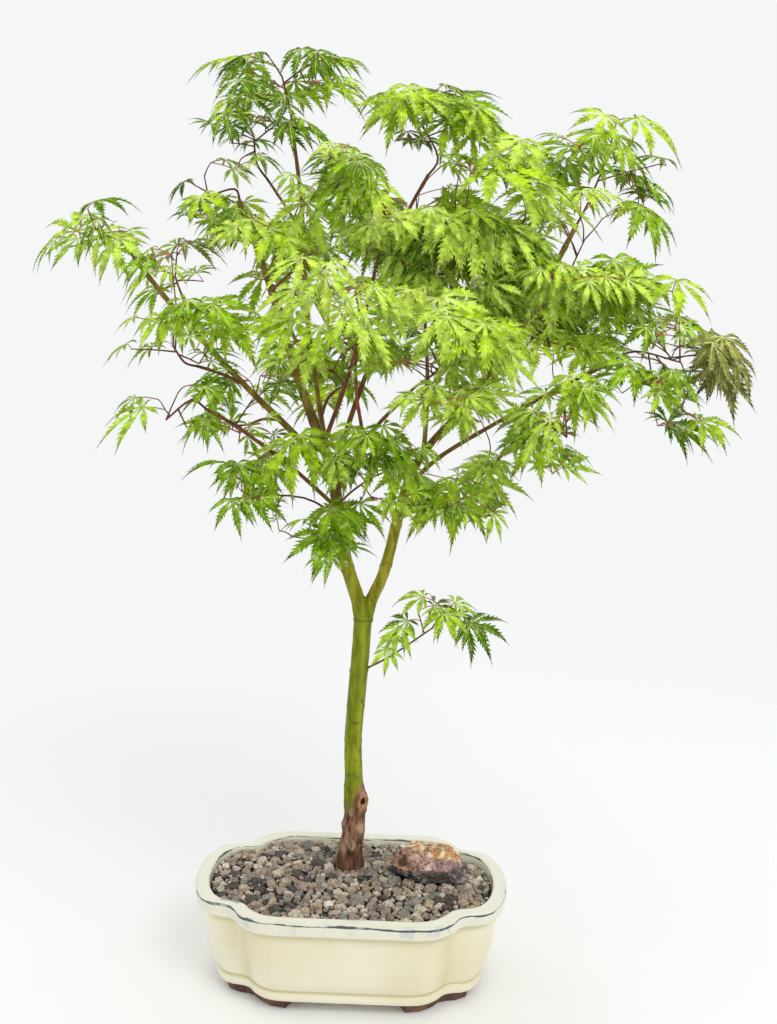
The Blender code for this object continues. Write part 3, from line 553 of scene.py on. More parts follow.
rock = {
    "centre": (61.2, 13.5, 87),
    "half": (34, 23.7),
    "growLow": (1.5, 2.5, 2.4),  # beyond the node's box, its foot sunk among the grains
    "growHigh": (6.5, 0.6, 3),
    # broken faces: normal and distance from the middle
    "faces": (((0, 0, -1), 0.86), ((-0.62, -0.76, 0.18), 0.76), ((-0.93, 0.06, 0.34), 0.86),
              ((0.12, -0.95, 0.30), 0.80), ((0.74, -0.64, 0.20), 0.90), ((0.95, 0.12, 0.24), 0.90),
              ((-0.06, -0.40, 0.92), 0.60), ((0.10, 0.45, 0.88), 0.74), ((0.05, -0.97, -0.24), 0.80),
              ((-0.62, -0.72, -0.32), 0.84), ((0.05, 0.97, 0.20), 0.84), ((-0.62, 0.76, 0.18), 0.88),
              ((0.66, 0.72, 0.15), 0.86), ((0.46, -0.10, 0.88), 0.76), ((-0.50, 0.10, 0.86), 0.74)),
    "rough": ((2.6, 0.090), (8, 0.040), (24, 0.018)),  # how fine and how strong
}

innerWall = planOutline(2) * np.array(drawnIn(gravel["wallInset"]))
innerWall = innerWall[np.argsort(np.arctan2(innerWall[:, 1], innerWall[:, 0]))]
wallTurns = np.arctan2(innerWall[:, 1], innerWall[:, 0])
wallReach = np.hypot(*innerWall.T)


def planShare(x, y):  # how far a point lies from the middle to the pot's inner wall
    return math.hypot(x, y) / float(np.interp(math.atan2(y, x), wallTurns, wallReach, period=2 * math.pi))


def gravelHeight(share):
    return gravel["edgeHeight"] + gravel["mound"] * (1 - share * share)


def gravelSlant(x, y):
    return -gravel["slant"] * x / 112 * np.clip(y / 70 + 0.3, 0, 1)


def grainFinish(name, colour):
    look = Finish("gravel" + name, colour, 0.9)
    look.paint(look.tone(look.noise(420, 5, 0.7), 0.34, 0.62, scaled(colour, 0.48), scaled(colour, 1.16)))
    look.bump(look.noise(900, 4, 0.7), 0.0011, 0.9)
    return look.material


def grainShapes():  # a few broken lumps, each from a rounded primitive
    shapes = []
    for i in range(gravel["shapes"]):
        bpy.ops.mesh.primitive_ico_sphere_add(subdivisions=2, radius=1, location=(0, 0, 0))
        lump = bpy.context.object
        editAll()
        bpy.ops.transform.vertex_random(offset=0.24, uniform=0.6, normal=0.4, seed=i + 3)
        bpy.ops.object.mode_set(mode="OBJECT")
        addModifier(lump, "DECIMATE", ratio=0.46)
        lump.data.calc_loop_triangles()
        points = np.array([v.co for v in lump.data.vertices])
        shapes.append((points / np.abs(points).max(), [list(t.vertices) for t in lump.data.loop_triangles]))
        bpy.data.objects.remove(lump, do_unlink=True)
    return shapes


def grainSpot(size, lying, rng):  # a place in the pot, and whether it is free of other grains
    tries = 0
    rockX, rockY, _ = rock["centre"]
    while True:
        x, y = (rng.uniform(-half, half) for half in gravel["field"])
        toTrunk = math.hypot(x - trunk["foot"][0], y - trunk["foot"][1])
        toRock = math.hypot((x - rockX) / rock["half"][0], (y - rockY) / rock["half"][1])
        nearTrunk = toTrunk < gravel["trunkClear"] + size * 0.4
        if planShare(x, y) + size / 90 > 1 or nearTrunk or toRock < gravel["rockClear"]:
            continue
        gaps = np.hypot(lying[:, 0] - x, lying[:, 1] - y) / (lying[:, 2] + size)
        tries += 1
        if gaps.min() > gravel["apart"]:
            return x, y, True
        if tries > gravel["tries"]:
            return x, y, False


def makeGravel():
    levels = [(*drawnIn(inset), height) for inset, height in (gravel["bedFoot"], gravel["bedEdge"])]
    scaleX, scaleY, _ = levels[1]
    for share in gravel["bedRings"]:
        levels.append((scaleX * share, scaleY * share, gravelHeight(share) - gravel["bedDepth"]))
    bed = ringStack("gravelShadeBed", levels, 2)
    turnOut(bed)
    points = pointsOf(bed)
    points[:, 2] += gravelSlant(points[:, 0], points[:, 1]) * (points[:, 2] > 70)
    movePoints(bed, points)
    # the bed under the grains is near black: painted shade in the gaps between them
    coat(bed, grainFinish("ShadeBed", (36, 31, 27)))
    rideRoot(bed, "gravel", "gravel")

    rng = random.Random(gravel["seed"])
    shapes = grainShapes()
    names, colours, weights = zip(*gravel["tints"])
    heaps = {name: Heap() for name in names}
    sizes = [gravel["median"] * math.exp(rng.gauss(0, gravel["spread"])) for _ in range(gravel["grains"])]
    sizes = sorted((min(max(s, gravel["smallest"]), gravel["largest"]) for s in sizes), reverse=True)
    lying = np.full((gravel["grains"], 3), 1e6)
    for number, size in enumerate(sizes):
        x, y, onTop = grainSpot(size, lying, rng)
        height = gravelHeight(planShare(x, y)) + gravelSlant(x, y) - gravel["sunk"] * size
        if onTop:
            lying[number] = (x, y, size)
            z = height + rng.uniform(*gravel["uneven"])
            name = rng.choices(names, weights)[0]
        else:
            # a grain with no room on top lies lower and takes the near-black tint, painted shade in the gaps
            z = height + gravel["deepest"] + rng.uniform(-0.4, 0.4)
            name = "Deep"
        points, faces = shapes[rng.randrange(len(shapes))]
        turned = Matrix.Rotation(rng.uniform(0, 6.28), 3, "Z")
        turned = turned @ Matrix.Rotation(rng.uniform(-0.6, 0.6), 3, "X")
        extent = size * np.array([rng.uniform(*limits) for limits in gravel["stretch"]])
        heaps[name].add((points * extent) @ np.array(turned).T + np.array([x, y, z]), faces)
    for name, colour in zip(names, colours):
        material = grainFinish(name, colour)
        grains = heaps[name].piece("grains" + name, [material])
        coat(grains, material, 44)
        rideRoot(grains, "gravel")


makeGravel()
print("gravel made")


# Stone

def rockFinish():
    look = Finish("bandedStone", (150, 110, 96), 0.6, toMetres(rock["centre"]))
    grain = look.noise(150, 6, 0.72)
    shift = look.times(look.minus(look.noise(45, 3), 0.5), 0.02)
    crystals = look.band(look.cells(330), 0.10, 0.55)
    body = look.blend(crystals, (96, 62, 60), (188, 146, 134))
    body = look.tone(grain, 0.53, 0.66, body, (226, 204, 188))
    mauve = look.tone(grain, 0.42, 0.60, (104, 82, 84), (168, 142, 142))
    body = look.tone(look.noise(60), 0.52, 0.62, body, mauve)
    left = look.band(look.plus(look.axis("X"), shift), -0.018, -0.008, 1, 0)
    body = look.blend(left, body, look.tone(grain, 0.40, 0.60, (88, 52, 36), (196, 148, 112)))
    high = look.plus(look.times(look.axis("X"), 0.16), look.axis("Z"))
    high = look.plus(look.plus(high, look.times(look.axis("Y"), 0.42)), shift)
    ochre = look.tone(grain, 0.43, 0.58, (186, 118, 56), (238, 220, 178))
    body = look.tone(high, 0.0045, 0.008, body, ochre)
    low = look.minus(look.axis("Z"), look.times(look.axis("X"), 0.10))
    low = look.band(look.plus(low, look.times(shift, 0.4)), -0.002, 0.001, 1, 0)
    body = look.blend(low, body, look.tone(grain, 0.48, 0.64, (80, 72, 70), (166, 156, 148)))
    pits = look.band(look.noise(120, 5, 0.78), 0.38, 0.47, 1, 0)
    look.paint(look.blend(look.times(pits, 0.8), body, (52, 34, 28)))
    look.gloss(look.band(crystals, 0, 1, 0.75, 0.45))
    look.bump(grain, 0.0014, 0.9)
    look.bump(crystals, 0.0005, 0.6)
    return look.material


def makeRock():
    low, high = (np.array(corner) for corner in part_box("rock"))
    low -= np.array(rock["growLow"]) * mm
    high += np.array(rock["growHigh"]) * mm
    bpy.ops.mesh.primitive_ico_sphere_add(subdivisions=6, radius=1, location=(0, 0, 0))
    piece = named("roughStone")
    normals = np.array([Vector(n).normalized() for n, _ in rock["faces"]])
    reaches = np.array([d for _, d in rock["faces"]])
    ways = np.array([v.co.normalized() for v in piece.data.vertices])
    facing = ways @ normals.T
    limit = np.where(facing > 0.02, reaches / np.maximum(facing, 0.02), 9).min(1)
    points = ways * limit[:, None]
    for i, point in enumerate(points):
        rough = sum(noise.fractal(Vector(point) * fine, 1, 2, 4) * strength
                    for fine, strength in rock["rough"])
        points[i] = point * (1 + rough)
    least = points.min(0)
    points = 2 * (points - least) / (points.max(0) - least) - 1
    piece.data.vertices.foreach_set("co", (points * ((high - low) / 2) + (low + high) / 2).ravel())
    coat(piece, rockFinish(), 32)
    rideRoot(piece, "stone", "rock")


makeRock()
print("stone made")


# Limbs: the same routes as in the source, each with its radius at either end

forkStubs = (
    (((4.2, 23, 281), (1.6, 23, 294), (-0.7, 22.8, 304)), 6.4, 5.5),
    (((4.8, 23, 281), (8, 23.2, 294), (11, 23.6, 304)), 5.8, 4.6),
)
limbs = {
    "leader_left": (((-0.7, 22.8, 304), (-10.4, 21.2, 335), (-15, 19, 367), (-19, 17, 391),
        (-21.4, 15, 407)), 5.5, 4.4),
    "leader_right": (((11, 23.6, 304), (20.5, 26, 327), (29.5, 28, 367), (35, 31, 390), (40, 33, 406)),
        4.6, 3.6),
    "crest": (((-21.4, 15, 407), (-43, 19, 461), (-56, 22, 498), (-76, 27, 558), (-97, 37, 609)), 4.1, 2.1),
    "left": (((-19.8, 16.4, 396), (-46, 8, 431), (-91, -2, 477), (-134, -11, 525), (-166, -20, 566)),
        3, 1.7),
    "left_side": (((-122, -8, 511), (-131, 12, 524), (-139, 24, 538)), 1.4, 1.1),
    "left_front": (((-88, -1, 474), (-104, -22, 484), (-117, -38, 490)), 1.4, 1.1),
    "left_low": (((-16.6, 18.2, 376), (-41, -9, 405), (-59, -37, 426), (-86, -50, 448), (-108, -58, 462)),
        1.7, 1.1),
    "left_under": (((-62, 4, 447), (-74, 12, 446), (-84, 18, 442)), 1.3, 1),
    "top": (((-24.5, 15.6, 415), (-36, 51, 458), (-50, 83, 534), (-54, 88, 604), (-62, 94, 662)), 2.3, 1.4),
    "upper_left": (((-53, 87, 586), (-66, 76, 607), (-80, 68, 628)), 1.3, 1),
    "inner_left": (((-71, 25.6, 543), (-60, 4, 551), (-50, -14, 559)), 1.5, 1.1),
    "back_left": (((-39, 59, 476), (-60, 106, 500), (-79, 146, 528)), 1.7, 1.2),
    "centre_back": (((-32.6, 41, 446), (-30, 66, 456), (-24, 86, 462)), 1.5, 1.1),
    "middle": (((-20.6, 15.6, 402), (-9, 33, 446), (4, 50, 486), (22, 68, 540), (28, 77, 596),
        (46, 82, 634)), 2.2, 1.3),
    "front": (((-29, 16.4, 426), (-10, 4, 480), (4, -17, 532), (12, -40, 566)), 1.9, 1.2),
    "front_right": (((-18.6, 17.2, 388), (-4, -19, 419), (14, -50, 450), (34, -74, 474)), 1.8, 1.2),
    "front_low": (((6, -37.5, 436), (2, -74, 472), (2, -106, 500)), 1.4, 1.1),
    "right": (((40, 33, 406), (53, 41, 425), (82, 49, 459), (121, 53, 516), (149, 53, 572),
        (161, 53, 597)), 3.4, 1.9),
    "right_inner": (((114, 52.4, 506), (124, 26, 524), (134, 10, 536)), 1.5, 1.1),
    "far_right": (((35.6, 31.2, 392), (61, 20, 419), (103, 3, 449), (152, -10, 480), (184, -17, 498)),
        2, 1.2),
    "right_low": (((116, -0.6, 457), (127, -16, 457), (136, -28, 455)), 1.2, 1),
    "centre_right": (((71, 46.6, 446), (72, 18, 490), (68, -6, 528)), 1.8, 1.2),
    "back": (((48.6, 38.6, 418), (50, 84, 462), (47, 122, 508), (42, 150, 546)), 2, 1.2),
    "back_right": (((62, 43.6, 435), (92, 92, 462), (122, 134, 488)), 1.7, 1.2),
}


def smoothRoute(points, steps):
    known = [Vector(p) for p in points]
    padded = [known[0] * 2 - known[1], *known, known[-1] * 2 - known[-2]]
    route = []
    for i in range(1, len(padded) - 2):
        route.extend(curvePoint(*padded[i - 1:i + 3], k / steps) for k in range(steps))
    return [*route, known[-1]]


def tapered(count, start, end):
    return [start + (end - start) * (i / (count - 1)) ** 0.85 for i in range(count)]


def trunkRadii(count):
    return list(np.interp(np.linspace(0, 1, count), np.linspace(0, 1, len(trunk["radii"])), trunk["radii"]))


def sweepRuns(name, runs, roundness):  # every run is a route in mm and its radii, swept as one mesh
    bpy.ops.curve.primitive_nurbs_path_add(location=(0, 0, 0))
    curve = named(name).data
    curve.splines.clear()
    curve.dimensions = "3D"
    curve.twist_mode = "MINIMUM"
    curve.bevel_depth = mm
    curve.bevel_resolution = roundness
    curve.use_fill_caps = True
    for route, radii in runs:
        spline = curve.splines.new("POLY")
        spline.points.add(len(route) - 1)
        for point, place, radius in zip(spline.points, toMetres(route), radii):
            point.co = (*place, 1)
            point.radius = radius
    bpy.ops.object.convert(target="MESH")
    return named(name)


def barkFinish():
    look = Finish("maturingBark", (110, 74, 54), 0.8, toMetres((*trunk["foot"], 0)), 0.2)
    streaks = look.noise(260, 5, 0.65, 0.22)
    patches = look.noise(85, 4, 0.6, 0.6)
    brown = look.tone(streaks, 0.36, 0.60, (60, 38, 25), (148, 112, 84))
    brown = look.tone(patches, 0.54, 0.72, brown, (188, 158, 132))
    lowest = look.band(look.axis("Z"), 0.076, 0.100, 1, 0)
    brown = look.blend(look.times(lowest, 0.6), brown, (84, 54, 34))
    olive = look.tone(streaks, 0.32, 0.68, (98, 106, 2), (134, 146, 8))
    olive = look.blend(look.band(patches, 0.58, 0.76, 0, 0.6), olive, (84, 80, 16))
    pale = look.band(look.noise(40, 3, 0.5, 0.5), 0.56, 0.68)
    olive = look.blend(look.times(pale, 0.25), olive, (170, 176, 40))
    # painted highlight: a paler strip down the side of the trunk that faces the key lamp
    olive = look.blend(look.attribute("strip"), olive, (180, 184, 56))
    olive = look.blend(look.attribute("mark"), olive, (58, 46, 22))
    # the brown climbs higher on the right than on the left
    climb = look.minus(look.axis("Z"), look.times(look.axis("X"), 1.4))
    climb = look.plus(climb, look.times(look.minus(patches, 0.5), 0.05))
    bark = look.tone(climb, 0.126, 0.142, brown, olive)
    upper = look.times(look.band(look.axis("Z"), 0.284, 0.33), 0.7)
    bark = look.blend(upper, bark, look.tone(streaks, 0.36, 0.64, (128, 114, 20), (182, 172, 50)))
    bark = look.blend(look.attribute("dusk"), bark, (88, 62, 38))
    scar = look.tone(streaks, 0.40, 0.60, (112, 72, 46), (180, 134, 98))
    bark = look.tone(look.attribute("knot"), 0.15, 0.6, bark, scar)
    # painted shade: the knot's hole is darkened nearly to black, as shade falls into it
    bark = look.tone(look.attribute("hole"), 0.3, 0.8, bark, (28, 16, 10))
    look.paint(look.blend(look.attribute("ring"), bark, (92, 72, 32)))
    look.gloss(look.band(look.axis("Z"), 0.12, 0.16, 0.85, 0.5))
    look.bump(streaks, 0.0012, 0.7)
    look.bump(patches, 0.0010, 0.4)
    return look.material


def makeTrunk():
    route = smoothRoute(trunk["route"], 6)
    route[0].z = trunk["sunkTo"]
    runs = [(route, trunkRadii(len(route)))]
    for (points, start, _), name in zip(forkStubs, ("leader_left", "leader_right")):
        onward, _, last = limbs[name]
        path = smoothRoute(points[:2] + onward, 6)
        runs.append((path, tapered(len(path), start, last)))
    piece = sweepRuns("trunkBark", runs, 10)
    addModifier(piece, "REMESH", mode="VOXEL", voxel_size=trunk["voxel"] * mm)
    addModifier(piece, "SMOOTH", factor=0.5, iterations=6)
    points = pointsOf(piece)
    x, y, z = points.T
    soil = trunk["route"][0][2]
    turn = np.arctan2(y - trunk["foot"][1], x - trunk["foot"][0] - 4 * (z - soil) / 216)
    nearSoil = np.clip(1 - (z - soil) / trunk["flareTall"], 0, 1)
    push = trunk["flare"] * nearSoil ** 2 * (0.55 + 0.45 * np.cos(5 * turn + 0.8))
    for size, height, tall, side in trunk["swellings"]:
        push += size * bell(z, height, tall) * np.maximum(0, np.cos(turn - side)) ** 2
    # the hole in the knot, with a raised lip
    holeTurn, holeHeight = trunk["hole"]
    aside = np.abs((turn - holeTurn + math.pi) % (2 * math.pi) - math.pi) * 9
    away = np.hypot(aside, (z - holeHeight) / 1.7)
    push += 0.9 * bell(away, 3, 1) - 3.4 * bell(away, 0, 1.7)
    stem = z < trunk["stemTop"]
    relief = np.array([noise.fractal(Vector((px * 0.42, py * 0.42, pz * 0.11)), 1, 2, 4)
                       + 0.5 * noise.noise(Vector((px * 0.16, py * 0.16, pz * 0.06)))
                       for px, py, pz in points])
    rings = sum(size * bell(z, level, 1.5) for level, size in trunk["rings"])
    push = np.where(stem, push, 0) + relief * np.interp(z, *trunk["rough"]) + rings
    movePoints(piece, points + readPoints(piece, "normal") * push[:, None])
    patch = bell(np.hypot(aside, (z - holeHeight) / 1.4), 0, 7)
    marks = sum(bell(turn, t, w / 8) * bell(z, h, d) for t, h, w, d in trunk["marks"])
    # hole marks the knot's hole, where shade is painted into the bark
    giveAttributes(piece, knot=np.where(stem, patch, 0), hole=np.where(stem, np.exp(-(away / 2) ** 4), 0),
                   # the strip on the side facing the key lamp, where a highlight is painted
                   ring=0.6 * bell(z, 287, 0.9), strip=0.4 * bell(turn, -1, 0.26) * smoothStep(z, 135, 165),
                   mark=np.clip(np.clip(marks, 0, 1) * (0.85 + 0.8 * relief), 0, 1),
                   dusk=0.75 * bell(z, 386, 20) * (x < 0))
    coat(piece, barkFinish(), 60)
    rideRoot(piece, "bark_brown", "trunk", "leader_left", "leader_right")


makeTrunk()
print("trunk and leaders made")


# Foliage: the masses of the source, by the source's rule

# root: the limb it grows from, or its stem's first points; lobe: a leaf's middle lobe; shoots: added here
massKeys = ("root", "middle", "reach", "twigs", "leaves", "lobe", "seed", "shoots", "mix")
massRows = {
    "left_tip": ("left", (-192, -28, 586), (52, 52, 56), 4, 8, 44, 3, 0, "green"),
    "left_upper": ("left_side", (-146, 34, 552), (50, 54, 48), 4, 8, 44, 8, 1, "green"),
    "left_front": ("left_front", (-130, -60, 506), (52, 52, 50), 4, 8, 44, 5, 2, "green"),
    "left_low": ("left_low", (-134, -68, 454), (62, 50, 46), 4, 8, 46, 6, 2, "deep"),
    "left_under": ("left_under", (-97, 16, 440), (54, 52, 50), 4, 8, 46, 7, 4, "green"),
    "crest": ("crest", (-122, 42, 612), (50, 52, 54), 4, 8, 44, 2, 1, "fresh"),
    "top_left": ("top", (-72, 98, 708), (66, 60, 46), 4, 11, 44, 9, 3, "bright"),
    "upper_left": ("upper_left", (-88, 52, 658), (52, 50, 44), 4, 7, 44, 10, 5, "fresh"),
    "inner_left": ("inner_left", (-52, -42, 584), (66, 56, 52), 4, 10, 48, 31, 8, "bright"),
    "back_left": ("back_left", (-92, 176, 552), (70, 66, 62), 4, 8, 51.5, 12, 10, "green"),
    "centre_back": ("centre_back", (-30, 120, 474), (66, 54, 56), 4, 8, 52, 13, 11, "green"),
    "top": ("middle", (40, 84, 672), (84, 62, 54), 5, 12, 48, 14, 8, "green"),
    "front": ("front", (18, -66, 606), (66, 56, 54), 4, 11, 50, 15, 13, "light"),
    "front_right": ("front_right", (60, -100, 498), (60, 54, 54), 4, 10, 50, 16, 16, "light"),
    "front_low": ("front_low", (-12, -138, 522), (60, 54, 54), 4, 8, 48, 47, 8, "bright"),
    "top_right": ("right", (182, 53, 648), (72, 64, 60), 5, 12, 48, 18, 4, "deep"),
    "right": ("right_inner", (150, -16, 560), (68, 56, 54), 4, 11, 48, 19, 33, "light"),
    "far_right": ("far_right", (234, -22, 500), (66, 58, 60), 5, 11, 48, 20, 12, "fresh"),
    "right_low": ("right_low", (152, -44, 446), (58, 54, 50), 4, 8, 50, 21, 12, "fresh"),
    "centre_right": ("centre_right", (74, -26, 566), (66, 54, 56), 4, 12, 50, 42, 29, "light"),
    "back": ("back", (36, 186, 584), (70, 66, 64), 4, 9, 52, 23, 22, "bright"),
    "back_right": ("back_right", (150, 166, 512), (70, 66, 62), 4, 9, 52, 24, 26, "bright"),
    "low_left": (((-15.4, 18.8, 369), (-46, -8, 392)), (-84, -28, 394), (58, 48, 44),
        4, 7, 44, 25, 5, "green"),
    "low": (((-12.6, 20.2, 350), (-22, -4, 362)), (-34, -26, 358), (48, 42, 52), 4, 7, 44, 26, 6, "fresh"),
    "low_centre": (((-17, 18, 379), (-4, -6, 396)), (14, -40, 414), (48, 46, 48),
        4, 7, 45.5, 29, 6, "fresh"),
    "low_right": (((33.4, 30.2, 384), (54, 14, 396)), (80, 2, 390), (54, 48, 50),
        4, 8, 46, 37, 9, "bright"),
    "low_branch": (((1.6, 23, 243), (30, 11, 262)), (60, -6, 290), (48, 46, 40), 4, 7, 36, 38, 0, "fresh"),
}
masses = {name: dict(zip(massKeys, row), name=name) for name, row in massRows.items()}
for mass in masses.values():
    mass["middle"] = Vector(mass["middle"])
    mass["size"] = sum(mass["reach"]) / 3
growth = {
    "gap": 0.3,
    "stem": 1.4,
    "twig": 1.2,
    "stalk": 0.5,
    "lobeHalf": 2.2,
    "firstTwig": 0.985,  # where along its stem, and how far back the next one grows
    "nextTwig": 0.11,
    "twigTurn": 0.6,
    "twigLift": (0.92, 1.5),  # how far the first points up, and how much lower the last one
    "liftSlack": (-0.12, 0.06),
    "twigReach": (0.42, 0.64),  # as a share of the mass's reach
    "twigMargin": 0.6,
    "stalkTurn": 1.6,
    "stalkRise": (-0.1, 0.7),
    "stalkReach": (7, 15),
    "bladeTurn": 0.5,
    "bladeDip": (0.1, 1.2),
    "bladeRoll": 0.45,
    "sizes": (0.82, 1.12),
    "shrink": 0.97,  # at each further try
    "droop": (0.12, 0.34),
    "lobes": ((-80, 0.64), (-39, 0.90), (0, 1), (39, 0.90), (80, 0.64)),
    "sites": (0.97, 0.55, 0.86, 0.40, 0.74, 0.66, 0.48, 0.92),
    "tries": 26,
    "cellMargin": 0.8,
    "limbMargin": 1.3,
    "reachShare": 1.12,
    "spacing": 0.42,
    "overlap": -1.8,
}
# what is added here: finer shoots with smaller leaves, more of them where the crown is dense
finer = {
    "tries": 30,
    "leavesEach": 3,
    "shootFrom": (0.35, 1),  # where along a twig
    "shootLength": (9, 26),
    "shootHalf": 0.6,
    "stalkReach": (13, 28),
    "leafShare": (0.80, 1.16),
    "dip": (-1, 1),  # how far a blade points down, in radians
    "limbMargin": 0.3,
    "spacing": 0.15,
    # how far leaves reach, as a share of the mass's own reach, and how far past its cell
    "limits": (1.06, -8),
    "denseLimits": (1.2, -34),
    "denseFrom": 15,  # shoots
    "fillLimits": (1.7, -70),
    "fillRise": 8,
    "fillShort": 18,  # the shoot ends so far before its place, which the leaves then cover
    "fillHalf": 24,  # how far from the place such a leaf is seen at most
    "straight": 14,
    "bow": 0.24,  # how far a shoot longer than that bends outwards
    "topGap": 2.5,  # what the source's leaves keep below the top of the box
    "ceilings": {"top_right": 664, "top": 700},
    # places seen from the front, on the upright plane through the middle of the pot: where no leaf
    # hangs, each with its half width and half height, and where a shoot is added for its leaves
    "sky": ((-239, 608, 18, 15), (-217, 628, 36, 20), (-168, 634, 32, 20), (-154, 591, 14, 16),
            (-139, 640, 44, 22), (-95, 561, 26, 22), (-65, 704, 15, 16), (0, 652, 26, 20),
            (37, 625, 32, 26), (105, 695, 27, 14), (126, 676, 15, 12), (172, 586, 42, 27),
            (231, 646, 22, 30), (264, 558, 26, 27), (217, 504, 34, 14), (-133, 459, 18, 16),
            (-179, 429, 45, 12), (-126, 394, 26, 22), (-66, 346, 24, 22), (190, 445, 21, 26),
            (124, 376, 20, 26), (28, 482, 26, 17), (78, 328, 30, 13), (69, 272, 28, 14),
            (246, 586, 22, 22), (2, 290, 26, 30)),
    "fill": {
        "left_tip": ((-214, 574), (-192, 566)),
        "left_front": ((-150, 560), (-104, 516), (-92, 500)),
        "left_under": ((-95, 468), (-68, 472)),
        "crest": ((-117, 591), (-102, 576)),
        "top_left": ((-34, 684), (-91, 706), (-30, 716), (-60, 676)),
        "upper_left": ((-54, 650), (-75, 658)),
        "top": ((89, 652), (63, 661)),
        "top_right": ((142, 628), (209, 606), (192, 618), (204, 592), (164, 650)),
        "far_right": ((214, 541), (221, 468), (246, 454), (264, 474), (232, 444), (196, 480)),
        "right_low": ((127, 492),),
        "centre_right": ((70, 628), (92, 622), (112, 626), (128, 612)),
        "centre_back": ((-19, 458), (-46, 488), (2, 536)),
        "low_left": ((-45, 465), (-97, 398), (-40, 420)),
        "low": ((-5, 374), (-25, 355)),
        "low_centre": ((14, 405),),
        "low_right": ((84, 442), (101, 376), (70, 388)),
        "low_branch": ((30, 268), (58, 298), (84, 284)),
    },
    "dry": ((-121, 583, 12, 18), (274, 494, 16, 30)),  # where sprays have dried
}
# the tints are partly the leaves' own colours and partly painted light and shade: the paler ones stand for
# lit sprays, the darkest for shaded ones
leafTints = (  # name, blade, tips
    ("Lime", (190, 221, 70), (126, 140, 56)),
    ("Fresh", (174, 210, 32), (104, 120, 38)),
    ("Green", (138, 180, 8), (80, 102, 24)),
    ("Deep", (94, 134, 0), (56, 76, 14)),
    ("Tanned", (142, 144, 68), (84, 78, 48)),
)
# a mass's mix sets how pale or deep its sprays are, partly the leaves' own variety and partly painted light
# and shade for that part of the crown
mixes = {  # shares of the sprays in each of these tints
    "light": (0.56, 0.22, 0.12, 0.10, 0),
    "bright": (0.40, 0.36, 0.16, 0.08, 0),
    "fresh": (0.20, 0.38, 0.30, 0.12, 0),
    "green": (0.10, 0.36, 0.38, 0.16, 0),
    "deep": (0, 0.26, 0.46, 0.28, 0),
}
leafShape = {
    "lobes": ((-39, 0.90), (0, 1), (39, 0.90), (-80, 0.66), (80, 0.66)),
    "smallLobes": ((-118, 0.38), (118, 0.38)),
    # along a lobe, as shares of its reach: the midrib's points, and for each of its spans the points
    # of the edge, first the place, then the half width, teeth pointing ahead between the notches
    "ribs": (0, 0.24, 0.50, 0.74, 1),
    "edges": (((0, 0.010), (0.11, 0.026), (0.24, 0.042)),
              ((0.24, 0.042), (0.34, 0.098), (0.315, 0.054), (0.44, 0.124), (0.40, 0.062), (0.545, 0.122),
               (0.50, 0.054)),
              ((0.50, 0.054), (0.63, 0.104), (0.585, 0.044), (0.71, 0.080), (0.665, 0.032), (0.79, 0.052),
               (0.74, 0.020)),
              ((0.74, 0.020), (0.86, 0.026), (0.82, 0.012), (0.91, 0.006))),
    "smallRibs": (0, 0.5, 1),
    "smallEdges": (((0, 0.014), (0.2, 0.04), (0.44, 0.13), (0.38, 0.08), (0.60, 0.14), (0.50, 0.08)),
                   ((0.50, 0.08), (0.82, 0.085), (0.72, 0.04))),
    "fold": 0.36,
    "hang": (0.35, 1.25),  # how far a lobe's tip has turned downwards
    "tail": 1.08,  # the lobes' thin tails reach so far beyond the source's
    "steps": 25,
    "lobeTurn": 5,  # degrees
    "lobeReach": (0.92, 1.06),
    "sway": 0.22,
    "broad": (0.88, 1.14),
    "lobeBroad": (0.9, 1.1),
    "edgeBroad": (0.92, 1.08),
    "toothShift": 0.02,
    "faceOut": 1.1,  # how far the blades lean out from the crown's middle
    "faceShare": (0.35, 0.85),
    "veinHalf": 0.22,
    "vein": (220, 232, 150),
    "zones": (("Heart", 0.22, 0), ("", 0, 0), ("Outer", 0, 0.22), ("Tip", 0, 0.8)),  # shares of vein and tip
    "seed": 77,
}
eyeX, eyeY, eyeZ = (value / mm for value in camera["place"])
held = []  # every limb, twig and leaf that a new one keeps clear of: what it is, its ends and its radius


def hold(kind, segments):
    held.extend((kind, tuple(start), tuple(end), radius) for start, end, radius in segments)


def segmentGap(start, end, starts, ends):  # from one segment to each of many
    d1 = end - start
    d2 = ends - starts
    r = start - starts
    a = max(float(d1 @ d1), 1e-9)
    e = np.maximum((d2 * d2).sum(1), 1e-9)
    f = (d2 * r).sum(1)
    c = r @ d1
    b = d2 @ d1
    denom = a * e - b * b
    s = np.where(denom > 1e-9, np.clip((b * f - c * e) / np.maximum(denom, 1e-9), 0, 1), 0)
    t = (b * s + f) / e
    s = np.where(t < 0, np.clip(-c / a, 0, 1), np.where(t > 1, np.clip((b - c) / a, 0, 1), s))
    t = np.clip(t, 0, 1)
    near = (start + d1 * s[:, None]) - (starts + d2 * t[:, None])
    return np.sqrt((near * near).sum(1))


def isClear(pieces, margin, spare=None):
    columns = zip(*(item[1:] for item in held if item[0] != spare))
    starts, ends, radii = (np.array(column) for column in columns)
    for start, end, width in pieces:
        if (segmentGap(np.array(start), np.array(end), starts, ends) - radii - width).min() < margin:
            return False
    return True


def inCell(point, mass, margin):  # on its own side of the plane half way to every other mass
    ownPower = (point - mass["middle"]).length_squared - mass["size"] ** 2
    for other in masses.values():
        if other is mass:
            continue
        power = (point - other["middle"]).length_squared - other["size"] ** 2
        if (power - ownPower) / (2 * (other["middle"] - mass["middle"]).length) < margin:
            return False
    return True


def inReach(point, mass, share):
    return sum(((p - m) / (r * share)) ** 2 for p, m, r in zip(point, mass["middle"], mass["reach"])) <= 1


def inBox(point, margin):
    return all(low + margin < p < high - margin for low, p, high in zip(boxLow, point, boxHigh))


